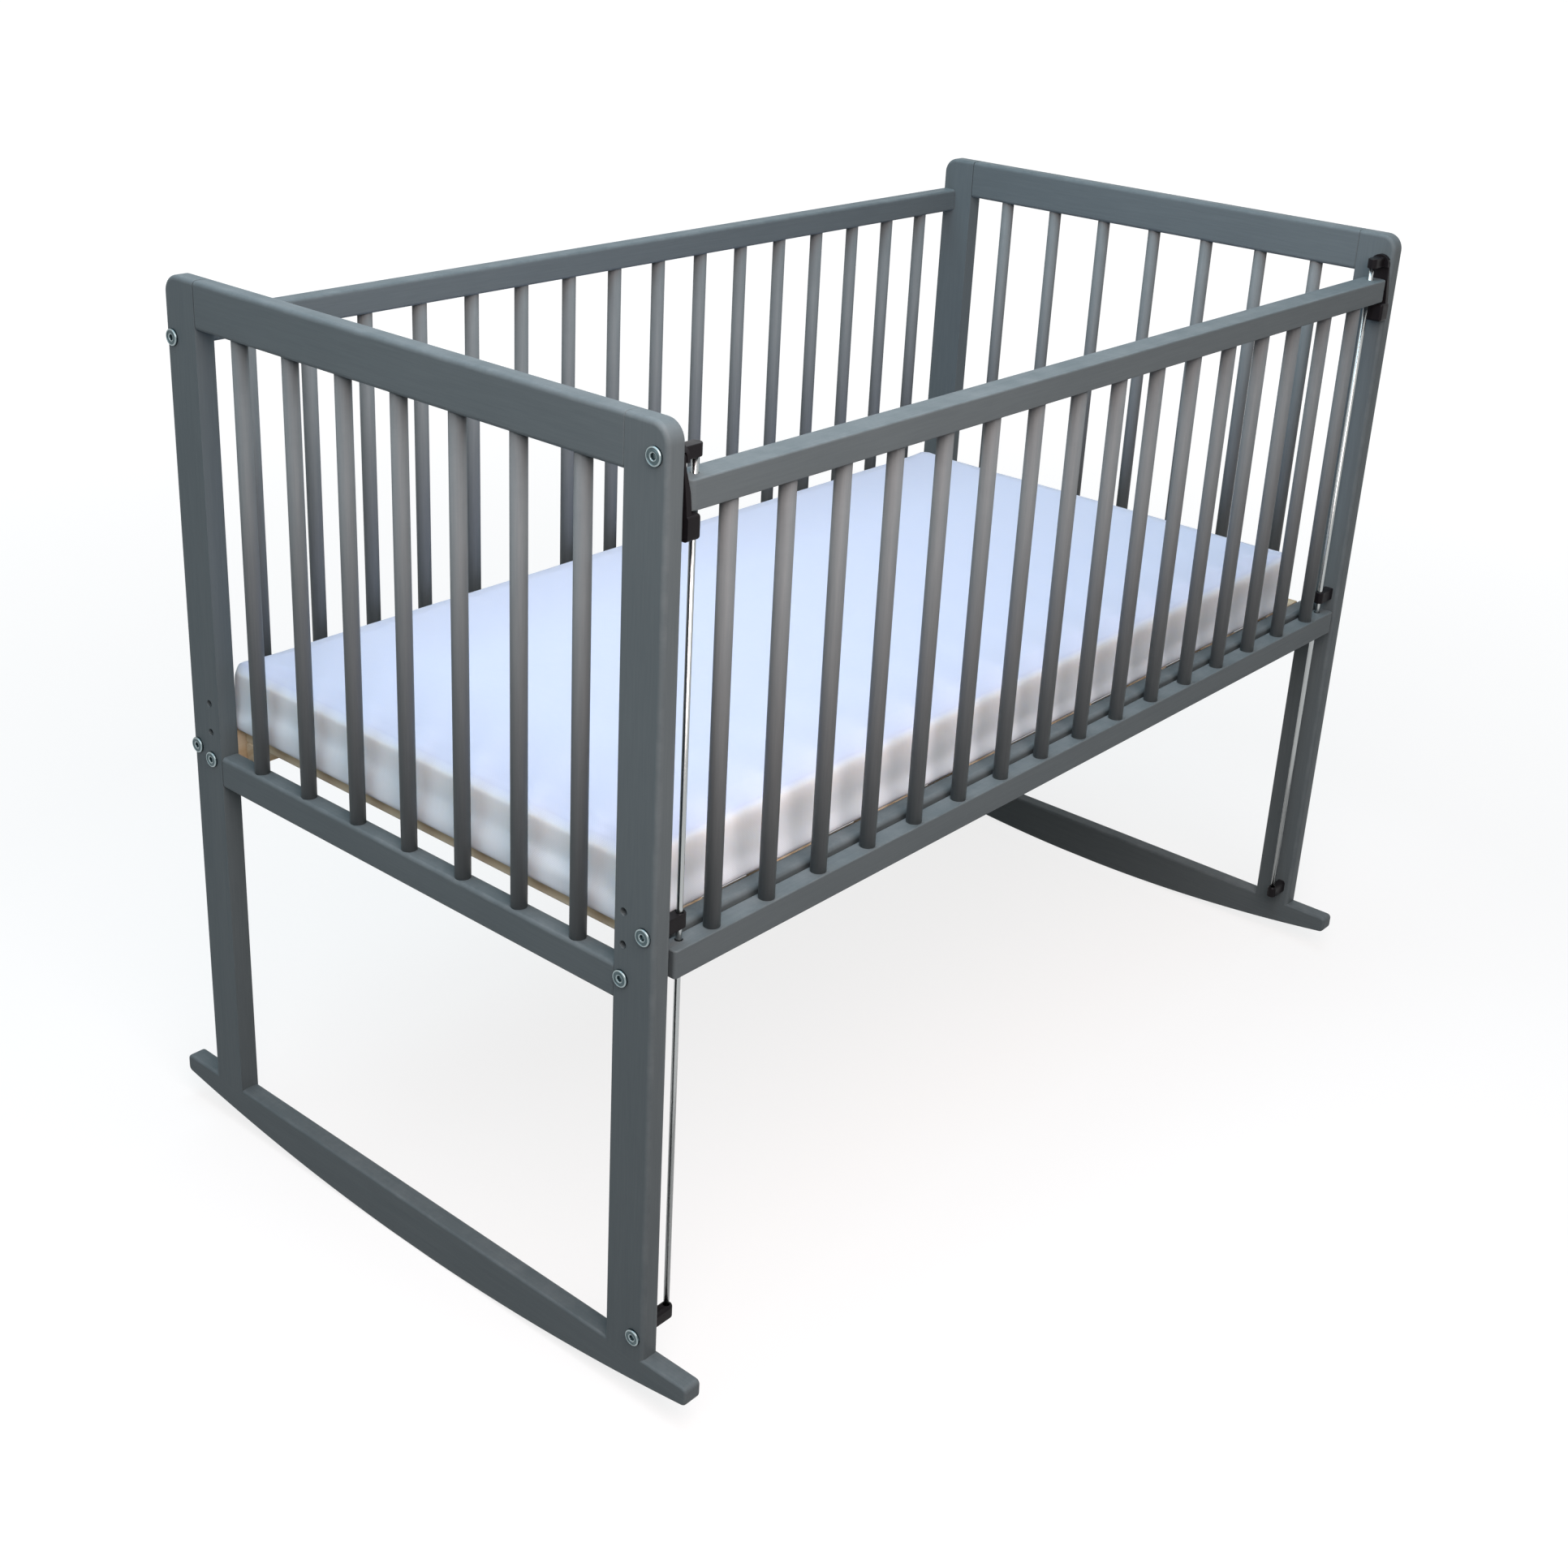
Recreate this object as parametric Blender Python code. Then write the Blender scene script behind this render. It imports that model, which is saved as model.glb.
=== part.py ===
"""Bedside crib: two end frames on rocker feet, a fixed rear side, a drop side that slides
on two steel rods, a slatted base hung between the ends, and the mattress that lies on it.

Metres, +Z up. The origin lies on the floor under the middle of the crib, with the length
along X and the drop side towards -Y.
"""
import math

import bmesh
import bpy
from mathutils import Matrix, Vector

X_AXIS, Y_AXIS, Z_AXIS = range(3)
SIDES = {"left": -1, "right": 1}

# Fits
SEAT_GAP = 0.0003            # left between any two pieces that touch
OVERRUN = 0.004              # how far a cutter reaches past the face that it cuts

# Ends
LENGTH = 0.960               # over the outer faces of the two ends
END_DEPTH = 0.506            # over the outer edges of the posts
STOCK = 0.016                # thickness of the ends, the rear side and the base bars
POST_WIDTH = 0.036
POST_HEIGHT = 0.684          # above the rocker
EDGE_ROUND = 0.0035          # along the edges of the ends
INNER_ARRIS = 0.001          # upright edges of a post where the rails meet it
CORNER_ROUND = 0.014         # at the outer top corner of each post
END_TOP_RAIL_HEIGHT = 0.036
END_LOW_RAIL_HEIGHT = 0.026
END_LOW_RAIL_RISE = 0.283    # underside of the lower end rail above the rocker
END_SPINDLE_MARGIN = 0.0421  # from a post to the axis of the nearest spindle
END_SPINDLE_COUNT = 7

# Rocker feet
ROCKER_OVERHANG = 0.042      # past the outer edge of each post
ROCKER_DEPTH = 0.040         # under the posts, at the middle
ROCKER_END_HEIGHT = 0.0153
ROCKER_FLAT = 0.044          # flat that the crib stands on
ROCKER_ARC_STEPS = 9         # facets from the flat to each end
ROCKER_NOSE_ROUND = 0.004

# Spindles
SPINDLE_DIAMETER = 0.012
SPINDLE_SIDES = 16
SOCKET_DEPTH = 0.008         # how far a spindle goes into its rail
SIDE_SPINDLE_MARGIN = 0.0481 # from a post to the axis of the nearest spindle
SIDE_SPINDLE_COUNT = 16

# Rear side
REAR_TOP_RAIL_HEIGHT = 0.0215
REAR_TOP_RAIL_DROP = 0.031   # from the top of the posts to the top of the rail
REAR_LOW_RAIL_HEIGHT = 0.022
REAR_LOW_RAIL_RISE = 0.2997
REAR_RAIL_ROUND = 0.0025

# Drop side
DROP_SETBACK = 0.0002        # from the front of the posts to the front of its rails
DROP_END_GAP = 0.005         # from a post to the end of a rail, where the latch arm hangs
DROP_TOP_RAIL_DEPTH = 0.0215
DROP_TOP_RAIL_HEIGHT = 0.020
DROP_TOP_RAIL_DROP = 0.0385
DROP_LOW_RAIL_HEIGHT = 0.0215
DROP_LOW_RAIL_RISE = 0.3027
DROP_RAIL_ARRIS = 0.001
DROP_TOP_END_ROUND = 0.0055  # upright corners of the top rail
DROP_LOW_END_ROUND = 0.003   # upright corners of the lower rail

# Rods and the blocks that hold them
ROD_DIAMETER = 0.0044
ROD_HOLE_CLEARANCE = 0.0008  # all round the rod where a rail slides on it
ROD_INSET = 0.0187           # from the inner face of a post to the rod's axis
ROD_SETBACK = 0.0106         # from the front of the posts to the rod's axis
ROD_SEAT_DEPTH = 0.007       # how far the rod goes into its end blocks
HOLDER_WALL = 0.0022         # plastic round the rod in each block
HOLDER_HEIGHT = 0.0112       # of the middle and the foot block
HOLDER_ARRIS = 0.0008
HEAD_HEIGHT = 0.0088
HEAD_DROP = 0.0192           # from the top of the posts to the top of the head block
HEAD_PLATE_RADIUS = 0.0087   # of the arched plate between the head block and the post
HEAD_ARCH_LIFT = 0.0023      # from the underside of the head to the centre of the arch
HEAD_PLATE_LIFT = 0.0003     # from the underside of the head to the underside of its plate
MID_GUIDE_RISE = 0.334
FOOT_HOLDER_RISE = 0.0137
FOOT_TOP_ROUND = 0.003       # round the top of the foot block

# Latches
LATCH_PIVOT_SETBACK = 0.006  # from the front of the posts to the pin
LATCH_PIVOT_LIFT = 0.0028    # from the underside of the head to the pin
LATCH_EYE_RADIUS = 0.0036
LATCH_PIN_RADIUS = 0.0018
LATCH_NECK = 0.0022          # thickness of the arm at its eye, inside the head
LATCH_TAPER_TOP = 0.004      # from the underside of the head down to where the arm thickens
LATCH_TAPER = 0.014          # height over which it thickens until it fills the gap to the rail
LATCH_ARM_WIDTH = 0.017
LATCH_ARM_LEAN = 0.004       # how far the arm bows forward on its way down
LATCH_ARM_STEPS = 6
LATCH_SHOULDER_ROUND = 0.004
EYE_STEPS = 10
CATCH_REACH = 0.0125         # from the post to the nose of the catch, under the rail
CATCH_HEIGHT = 0.0172
CATCH_PROUD = 0.0008         # how far the catch stands out past the arm
CATCH_FALL = 0.0008          # how far its top falls to the front, so that it swings clear
CATCH_ROUND = 0.0024

# Slatted base
BASE_TOP_RISE = 0.327
BASE_BAR_HEIGHT = 0.036
BASE_BAR_ROUND = 0.0035
BASE_DROP_GAP = 0.0037       # from the lower rail of the drop side to the front bar
SLAT_COUNT = 8
SLAT_WIDTH = 0.060
SLAT_THICKNESS = 0.013
SLAT_END_GAP = 0.0095        # from the end frames to the outer slats
SLAT_DROP = 0.0005           # top of the slats below the top of the bars
LEDGER_SIZE = 0.016
LEDGER_NOTCH = 0.001         # how deep the slats are let into the ledgers

# Spare bolt holes, for hanging the base higher
SPARE_HOLE_DIAMETER = 0.006
SPARE_HOLE_SIDES = 12
SPARE_HOLE_PITCH = 0.0245
SPARE_HOLE_COUNT = 2
BASE_BOLT_DROP = 0.0245      # from the top of the base to its own bolts

# Mattress, pushed against the left end
MATTRESS_THICKNESS = 0.056
MATTRESS_LEFT_GAP = 0.001
MATTRESS_RIGHT_GAP = 0.028
MATTRESS_REAR_GAP = 0.004    # to the rear side
MATTRESS_FRONT_GAP = 0.0208  # to the lower rail of the drop side
MATTRESS_EDGE_ROUND = 0.014
MATTRESS_CROWN = 0.003
MATTRESS_DRAW = 0.0035       # how far its sides pull in between the corners
MATTRESS_BARREL = 0.002      # how far its sides swell at half their height
MATTRESS_LONG_CUTS = 11
MATTRESS_CROSS_CUTS = 5
MATTRESS_HIGH_CUTS = 1

# Roundings, in facets
FINE_STEPS = 3
PLAIN_STEPS = 2
CORNER_STEPS = 6
NOSE_STEPS = 10
SMOOTH_ANGLE_DEGREES = 35    # facets that meet at less than this are shaded as one surface

# Shares
HALF_SHARE = 0.5
PARALLEL_SHARE = 0.999       # how straight an edge runs along an axis to count as along it
MEETING_SHARE = 0.01         # of a round, to find the edges at a given place

# Heights above the floor
DECK = ROCKER_DEPTH          # top of the rockers, from which the heights above are taken
POST_TOP = DECK + POST_HEIGHT
END_TOP_RAIL_UNDER = POST_TOP - END_TOP_RAIL_HEIGHT
END_LOW_RAIL_UNDER = DECK + END_LOW_RAIL_RISE
END_LOW_RAIL_TOP = END_LOW_RAIL_UNDER + END_LOW_RAIL_HEIGHT
REAR_TOP_RAIL_UNDER = POST_TOP - REAR_TOP_RAIL_DROP - REAR_TOP_RAIL_HEIGHT
REAR_LOW_RAIL_UNDER = DECK + REAR_LOW_RAIL_RISE
REAR_LOW_RAIL_TOP = REAR_LOW_RAIL_UNDER + REAR_LOW_RAIL_HEIGHT
DROP_TOP_RAIL_UNDER = POST_TOP - DROP_TOP_RAIL_DROP - DROP_TOP_RAIL_HEIGHT
DROP_LOW_RAIL_UNDER = DECK + DROP_LOW_RAIL_RISE
DROP_LOW_RAIL_TOP = DROP_LOW_RAIL_UNDER + DROP_LOW_RAIL_HEIGHT
BASE_TOP = DECK + BASE_TOP_RISE
HEAD_UNDER = POST_TOP - HEAD_DROP - HEAD_HEIGHT
HEAD_PLATE_UNDER = HEAD_UNDER + HEAD_PLATE_LIFT
MID_GUIDE_UNDER = DECK + MID_GUIDE_RISE
FOOT_HOLDER_UNDER = DECK + FOOT_HOLDER_RISE

# Places along X
OUTER_X = LENGTH * HALF_SHARE
INNER_X = OUTER_X - STOCK
DROP_END_X = INNER_X - DROP_END_GAP
ROD_X = INNER_X - ROD_INSET
SIDE_SPINDLE_PITCH = (INNER_X - SIDE_SPINDLE_MARGIN) / ((SIDE_SPINDLE_COUNT - 1) * HALF_SHARE)

# Places along Y
POST_OUTER_Y = END_DEPTH * HALF_SHARE
POST_INNER_Y = POST_OUTER_Y - POST_WIDTH
REAR_INNER_Y = POST_OUTER_Y - STOCK
DROP_FRONT_Y = DROP_SETBACK - POST_OUTER_Y
DROP_SPINDLE_Y = DROP_FRONT_Y + STOCK * HALF_SHARE
ROD_Y = ROD_SETBACK - POST_OUTER_Y
BASE_FRONT_Y = DROP_FRONT_Y + STOCK + BASE_DROP_GAP
BASE_REAR_Y = REAR_INNER_Y - SEAT_GAP
HEAD_PLATE_FRONT_Y = ROD_Y - HEAD_PLATE_RADIUS
HEAD_PLATE_REAR_Y = ROD_Y + HEAD_PLATE_RADIUS
END_SPINDLE_PITCH = (POST_INNER_Y - END_SPINDLE_MARGIN) / ((END_SPINDLE_COUNT - 1) * HALF_SHARE)
ROCKER_HALF_LENGTH = POST_OUTER_Y + ROCKER_OVERHANG

# Pin that each latch swings on
LATCH_PIVOT_Y = LATCH_PIVOT_SETBACK - POST_OUTER_Y
LATCH_PIVOT_Z = HEAD_UNDER + LATCH_PIVOT_LIFT


def clear_scene():
    for item in list(bpy.data.objects):
        bpy.data.objects.remove(item, do_unlink=True)
    for group in list(bpy.data.collections):
        bpy.data.collections.remove(group)


def new_collection(name):
    group = bpy.data.collections.new(name)
    bpy.context.scene.collection.children.link(group)
    return group


def new_material(name, colour, roughness, metallic=0):
    finish = bpy.data.materials.new(name)
    finish.use_nodes = True
    shader = finish.node_tree.nodes["Principled BSDF"]
    shader.inputs["Base Color"].default_value = (*colour, 1)
    shader.inputs["Roughness"].default_value = roughness
    shader.inputs["Metallic"].default_value = metallic
    return finish


clear_scene()
CRIB = new_collection("bedside_crib")
CUTTERS = new_collection("cutters")
GREY_LACQUER = new_material("grey_lacquer", (0.21, 0.235, 0.25), 0.42)
NATURAL_WOOD = new_material("natural_wood", (0.60, 0.44, 0.26), 0.62)
STEEL = new_material("steel", (0.55, 0.55, 0.56), 0.28, metallic=1)
BLACK_PLASTIC = new_material("black_plastic", (0.012, 0.012, 0.013), 0.45)
MATTRESS_COVER = new_material("mattress_cover", (0.72, 0.78, 0.90), 0.85)


def face_outwards(shape):
    """Turn every face of a closed shape to its outer side."""
    bmesh.ops.recalc_face_normals(shape, faces=shape.faces)
    if shape.calc_volume(signed=True) < 0:
        bmesh.ops.reverse_faces(shape, faces=shape.faces)


def add_object(name, shape, finish, origin=(0, 0, 0), parent=None):
    """Make an object of a finished bmesh, with its own origin at the place given."""
    face_outwards(shape)
    bmesh.ops.translate(shape, verts=shape.verts, vec=-Vector(origin))
    mesh = bpy.data.meshes.new(name)
    shape.to_mesh(mesh)
    shape.free()
    mesh.materials.append(finish)
    mesh.shade_smooth()
    mesh.set_sharp_from_angle(angle=math.radians(SMOOTH_ANGLE_DEGREES))
    piece = bpy.data.objects.new(name, mesh)
    CRIB.objects.link(piece)
    piece.location = origin
    if parent:
        piece.parent = parent
        piece.location = Vector(origin) - parent.location
    return piece


def add_cutter(name, shape):
    """Make an object that only cuts or joins, and shows as a wire."""
    face_outwards(shape)
    mesh = bpy.data.meshes.new(name)
    shape.to_mesh(mesh)
    shape.free()
    cutter = bpy.data.objects.new(name, mesh)
    cutter.hide_render = True
    cutter.display_type = "WIRE"
    CUTTERS.objects.link(cutter)
    return cutter


def add_boolean(piece, cutter, operation="DIFFERENCE"):
    change = piece.modifiers.new(cutter.name, "BOOLEAN")
    change.operation = operation
    change.solver = "EXACT"
    change.object = cutter


def add_empty(name, place):
    pivot = bpy.data.objects.new(name, None)
    pivot.location = place
    CRIB.objects.link(pivot)
    return pivot


def ordered(first, second):
    """The two corners of a box as its lowest and its highest."""
    low = [min(pair) for pair in zip(first, second)]
    high = [max(pair) for pair in zip(first, second)]
    return Vector(low), Vector(high)


def box(first, second, into=None):
    """A box between two corners, in a bmesh of its own or in the one given."""
    low, high = ordered(first, second)
    shape = into or bmesh.new()
    size = Matrix.Diagonal((*(high - low), 1))
    place = Matrix.Translation((low + high) * HALF_SHARE)
    bmesh.ops.create_cube(shape, size=1, matrix=place @ size)
    return shape


def cylinder(start, end, radius, sides, into=None):
    """A closed cylinder from one point to another."""
    start, end = Vector(start), Vector(end)
    run = end - start
    turn = run.to_track_quat("Z", "Y").to_matrix().to_4x4()
    place = Matrix.Translation((start + end) * HALF_SHARE) @ turn
    shape = into or bmesh.new()
    bmesh.ops.create_cone(shape, cap_ends=True, segments=sides, radius1=radius,
                          radius2=radius, depth=run.length, matrix=place)
    return shape


def extruded(outline, axis, low, high):
    """A closed outline, as points in the two axes that are left, carried from low to high."""
    shape = bmesh.new()
    corners = [shape.verts.new((*point[:axis], low, *point[axis:])) for point in outline]
    face = shape.faces.new(corners)
    moved = bmesh.ops.extrude_face_region(shape, geom=[face])["geom"]
    away = Vector((0, 0, 0))
    away[axis] = high - low
    bmesh.ops.translate(shape, verts=[v for v in moved if isinstance(v, bmesh.types.BMVert)], vec=away)
    return shape


def along(edge, axis):
    run = edge.verts[1].co - edge.verts[0].co
    return abs(run[axis]) > PARALLEL_SHARE * run.length


def middle(edge):
    return (edge.verts[0].co + edge.verts[1].co) * HALF_SHARE


def round_edges(shape, edges, radius, steps):
    bmesh.ops.bevel(shape, geom=list(edges), offset=radius, segments=steps, profile=HALF_SHARE,
                    affect="EDGES", clamp_overlap=True)


def arc(centre, radius, start_degrees, end_degrees, steps):
    """Points on an arc, both ends counted."""
    turn = end_degrees - start_degrees
    angles = [math.radians(start_degrees + turn * step / steps) for step in range(steps + 1)]
    return [(centre[0] + radius * math.cos(a), centre[1] + radius * math.sin(a)) for a in angles]


def row(count, pitch):
    """Evenly spaced places about zero."""
    return [(index - (count - 1) * HALF_SHARE) * pitch for index in range(count)]


def square_edged_bar(name, first, second, run_axis, radius, finish, parent=None):
    """A bar whose long edges are rounded and whose ends are square."""
    shape = box(first, second)
    round_edges(shape, [e for e in shape.edges if along(e, run_axis)], radius, PLAIN_STEPS)
    return add_object(name, shape, finish, parent=parent)


def sockets(name, places, mouth, depth, radius):
    """Upright blind holes whose mouths lie at one height. A negative depth goes down."""
    shape = bmesh.new()
    lip = mouth - math.copysign(OVERRUN, depth)
    for x, y in places:
        cylinder((x, y, lip), (x, y, mouth + depth), radius, SPINDLE_SIDES, into=shape)
    return add_cutter(name, shape)


SPINDLE_RADIUS = SPINDLE_DIAMETER * HALF_SHARE
SOCKET_RADIUS = SPINDLE_RADIUS + SEAT_GAP
SPINDLE_ENTRY = SOCKET_DEPTH - SEAT_GAP


def end_post(name, side, front):
    """An upright of an end frame, rounded at its outer top corner, with spare bolt holes."""
    outer = front * POST_OUTER_Y
    inner = front * POST_INNER_Y
    shape = box((side * OUTER_X, outer, DECK + SEAT_GAP), (side * INNER_X, inner, POST_TOP))
    near = CORNER_ROUND * MEETING_SHARE
    corner = [e for e in shape.edges if along(e, X_AXIS)
              and abs(middle(e).y - outer) < near and abs(middle(e).z - POST_TOP) < near]
    round_edges(shape, corner, CORNER_ROUND, CORNER_STEPS)
    foot = DECK + SEAT_GAP + near
    inside = front * (POST_INNER_Y + near)
    outside = [e for e in shape.edges if not along(e, X_AXIS) and middle(e).z > foot
               and middle(e).y * front > inside * front]
    round_edges(shape, outside, EDGE_ROUND, PLAIN_STEPS)
    inside_edges = [e for e in shape.edges if along(e, Z_AXIS) and middle(e).y * front < inside * front]
    round_edges(shape, inside_edges, INNER_ARRIS, 1)
    post = add_object(name, shape, GREY_LACQUER)

    holes = bmesh.new()
    bar_y = BASE_FRONT_Y if front < 0 else BASE_REAR_Y - STOCK
    hole_y = bar_y + STOCK * HALF_SHARE
    for number in range(1, SPARE_HOLE_COUNT + 1):
        height = BASE_TOP - BASE_BOLT_DROP + number * SPARE_HOLE_PITCH
        cylinder((side * (INNER_X - OVERRUN), hole_y, height),
                 (side * (OUTER_X + OVERRUN), hole_y, height),
                 SPARE_HOLE_DIAMETER * HALF_SHARE, SPARE_HOLE_SIDES, into=holes)
    add_boolean(post, add_cutter(name + "_spare_holes", holes))


def end_rails(label, side):
    """The two cross rails of an end frame and the spindles between them."""
    mid_x = side * (OUTER_X + INNER_X) * HALF_SHARE
    reach = POST_INNER_Y - SEAT_GAP
    places = [(mid_x, y) for y in row(END_SPINDLE_COUNT, END_SPINDLE_PITCH)]
    top = square_edged_bar("end_top_rail_" + label, (side * OUTER_X, -reach, END_TOP_RAIL_UNDER),
                           (side * INNER_X, reach, POST_TOP), Y_AXIS, EDGE_ROUND, GREY_LACQUER)
    add_boolean(top, sockets("end_top_sockets_" + label, places, END_TOP_RAIL_UNDER,
                             SOCKET_DEPTH, SOCKET_RADIUS))
    rack = square_edged_bar("end_spindle_rack_" + label, (side * OUTER_X, -reach, END_LOW_RAIL_UNDER),
                            (side * INNER_X, reach, END_LOW_RAIL_TOP), Y_AXIS, EDGE_ROUND,
                            GREY_LACQUER)
    spindles = bmesh.new()
    for x, y in places:
        cylinder((x, y, END_LOW_RAIL_TOP - SOCKET_DEPTH), (x, y, END_TOP_RAIL_UNDER + SPINDLE_ENTRY),
                 SPINDLE_RADIUS, SPINDLE_SIDES, into=spindles)
    add_boolean(rack, add_cutter("end_spindles_" + label, spindles), "UNION")


def rocker(name, side):
    """A foot whose underside is an arc with a short flat under the middle of the end."""
    half = ROCKER_HALF_LENGTH
    flat = ROCKER_FLAT * HALF_SHARE
    rise = ROCKER_DEPTH - ROCKER_END_HEIGHT
    centre = (half ** 2 + rise ** 2 - flat ** 2) / (rise + rise)
    radius = math.hypot(flat, centre)
    first = math.degrees(math.asin(flat / radius))
    last = math.degrees(math.asin(half / radius))
    straight_down = -90
    front_arc = arc((0, centre), radius, straight_down - last, straight_down - first, ROCKER_ARC_STEPS)
    rear_arc = arc((0, centre), radius, straight_down + first, straight_down + last, ROCKER_ARC_STEPS)
    outline = front_arc + rear_arc + [(half, DECK), (-half, DECK)]
    low, high = sorted((side * OUTER_X, side * INNER_X))
    shape = extruded(outline, X_AXIS, low, high)
    near = half * PARALLEL_SHARE
    noses = [e for e in shape.edges if along(e, X_AXIS) and abs(middle(e).y) > near]
    round_edges(shape, noses, ROCKER_NOSE_ROUND, FINE_STEPS)
    arrises = [e for e in shape.edges if not along(e, X_AXIS)]
    round_edges(shape, arrises, EDGE_ROUND * HALF_SHARE, PLAIN_STEPS)
    add_object(name, shape, GREY_LACQUER)


def add_spindle(name, x, y, low, high, parent=None):
    shape = cylinder((x, y, low), (x, y, high), SPINDLE_RADIUS, SPINDLE_SIDES)
    add_object(name, shape, GREY_LACQUER, origin=(x, y, low), parent=parent)


def rear_side():
    """Two rails bolted between the rear posts, with the spindles let into both."""
    reach = INNER_X - SEAT_GAP
    mid_y = POST_OUTER_Y - STOCK * HALF_SHARE
    places = [(x, mid_y) for x in row(SIDE_SPINDLE_COUNT, SIDE_SPINDLE_PITCH)]
    top = square_edged_bar("rear_top_rail", (-reach, REAR_INNER_Y, REAR_TOP_RAIL_UNDER),
                           (reach, POST_OUTER_Y, REAR_TOP_RAIL_UNDER + REAR_TOP_RAIL_HEIGHT),
                           X_AXIS, REAR_RAIL_ROUND, GREY_LACQUER)
    add_boolean(top, sockets("rear_top_sockets", places, REAR_TOP_RAIL_UNDER, SOCKET_DEPTH,
                             SOCKET_RADIUS))
    low = square_edged_bar("rear_lower_rail", (-reach, REAR_INNER_Y, REAR_LOW_RAIL_UNDER),
                           (reach, POST_OUTER_Y, REAR_LOW_RAIL_TOP), X_AXIS, REAR_RAIL_ROUND,
                           GREY_LACQUER)
    add_boolean(low, sockets("rear_lower_sockets", places, REAR_LOW_RAIL_TOP, -SOCKET_DEPTH,
                             SOCKET_RADIUS))
    for number, (x, y) in enumerate(places, start=1):
        add_spindle(f"rear_spindle_{number:02d}", x, y, REAR_LOW_RAIL_TOP - SPINDLE_ENTRY,
                    REAR_TOP_RAIL_UNDER + SPINDLE_ENTRY)


def rod_holes(name, low, high):
    """Upright holes for the two rods, right through a rail of the drop side."""
    shape = bmesh.new()
    radius = ROD_DIAMETER * HALF_SHARE + ROD_HOLE_CLEARANCE
    for side in SIDES.values():
        cylinder((side * ROD_X, ROD_Y, low - OVERRUN), (side * ROD_X, ROD_Y, high + OVERRUN),
                 radius, SPINDLE_SIDES, into=shape)
    return add_cutter(name, shape)


def drop_rail(name, depth, under, top, corner_round, slide):
    """A rail of the drop side, with square arrises and its upright corners rounded."""
    shape = box((-DROP_END_X, DROP_FRONT_Y, under), (DROP_END_X, DROP_FRONT_Y + depth, top))
    round_edges(shape, [e for e in shape.edges if along(e, Z_AXIS)], corner_round, FINE_STEPS)
    near = DROP_RAIL_ARRIS * MEETING_SHARE
    arrises = [e for e in shape.edges if abs(middle(e).z - under) < near or abs(middle(e).z - top) < near]
    round_edges(shape, arrises, DROP_RAIL_ARRIS, 1)
    rail = add_object(name, shape, GREY_LACQUER, origin=slide.location, parent=slide)
    add_boolean(rail, rod_holes(name + "_rod_holes", under, top))
    return rail


def drop_side():
    """The side that slides down on the two rods once both catches are swung clear."""
    slide = add_empty("drop_side_slide", (0, ROD_Y, DROP_LOW_RAIL_UNDER))
    places = [(x, DROP_SPINDLE_Y) for x in row(SIDE_SPINDLE_COUNT, SIDE_SPINDLE_PITCH)]
    top = drop_rail("drop_top_rail", DROP_TOP_RAIL_DEPTH, DROP_TOP_RAIL_UNDER,
                    DROP_TOP_RAIL_UNDER + DROP_TOP_RAIL_HEIGHT, DROP_TOP_END_ROUND, slide)
    add_boolean(top, sockets("drop_top_sockets", places, DROP_TOP_RAIL_UNDER, SOCKET_DEPTH,
                             SOCKET_RADIUS))
    low = drop_rail("drop_lower_rail", STOCK, DROP_LOW_RAIL_UNDER, DROP_LOW_RAIL_TOP,
                    DROP_LOW_END_ROUND, slide)
    add_boolean(low, sockets("drop_lower_sockets", places, DROP_LOW_RAIL_TOP, -SOCKET_DEPTH,
                             SOCKET_RADIUS))
    for number, (x, y) in enumerate(places, start=1):
        add_spindle(f"drop_spindle_{number:02d}", x, y, DROP_LOW_RAIL_TOP - SPINDLE_ENTRY,
                    DROP_TOP_RAIL_UNDER + SPINDLE_ENTRY, parent=slide)


def holder_body(side, back, under, height, top_round):
    """A plastic block that runs in from the post and ends in a round nose about the rod."""
    half = ROD_DIAMETER * HALF_SHARE + HOLDER_WALL
    straight_forward = -90
    nose = arc((side * ROD_X, ROD_Y), half, straight_forward, straight_forward - side * 180, NOSE_STEPS)
    outline = nose + [(back, ROD_Y + half), (back, ROD_Y - half)]
    shape = extruded(outline, Z_AXIS, under, under + height)
    near = HOLDER_ARRIS * MEETING_SHARE
    for level, radius, steps in ((under, HOLDER_ARRIS, 1), (under + height, top_round, PLAIN_STEPS)):
        rim = [e for e in shape.edges if abs(middle(e).z - level) < near
               and abs(middle(e).x - back) > near]
        round_edges(shape, rim, radius, steps)
    return shape


def rod_seat(name, side, low, high):
    shape = cylinder((side * ROD_X, ROD_Y, low), (side * ROD_X, ROD_Y, high),
                     ROD_DIAMETER * HALF_SHARE + SEAT_GAP, SPINDLE_SIDES)
    return add_cutter(name, shape)


def head_plate(name, side):
    """The arched plate between the head's block and the post, in line with the latch's arm."""
    arch = arc((ROD_Y, HEAD_UNDER + HEAD_ARCH_LIFT), HEAD_PLATE_RADIUS, 180, 0, EYE_STEPS)
    outline = arch + [(HEAD_PLATE_REAR_Y, HEAD_PLATE_UNDER), (HEAD_PLATE_FRONT_Y, HEAD_PLATE_UNDER)]
    low, high = sorted((side * (INNER_X - SEAT_GAP), side * DROP_END_X))
    return add_cutter(name, extruded(outline, X_AXIS, low, high))


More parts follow.
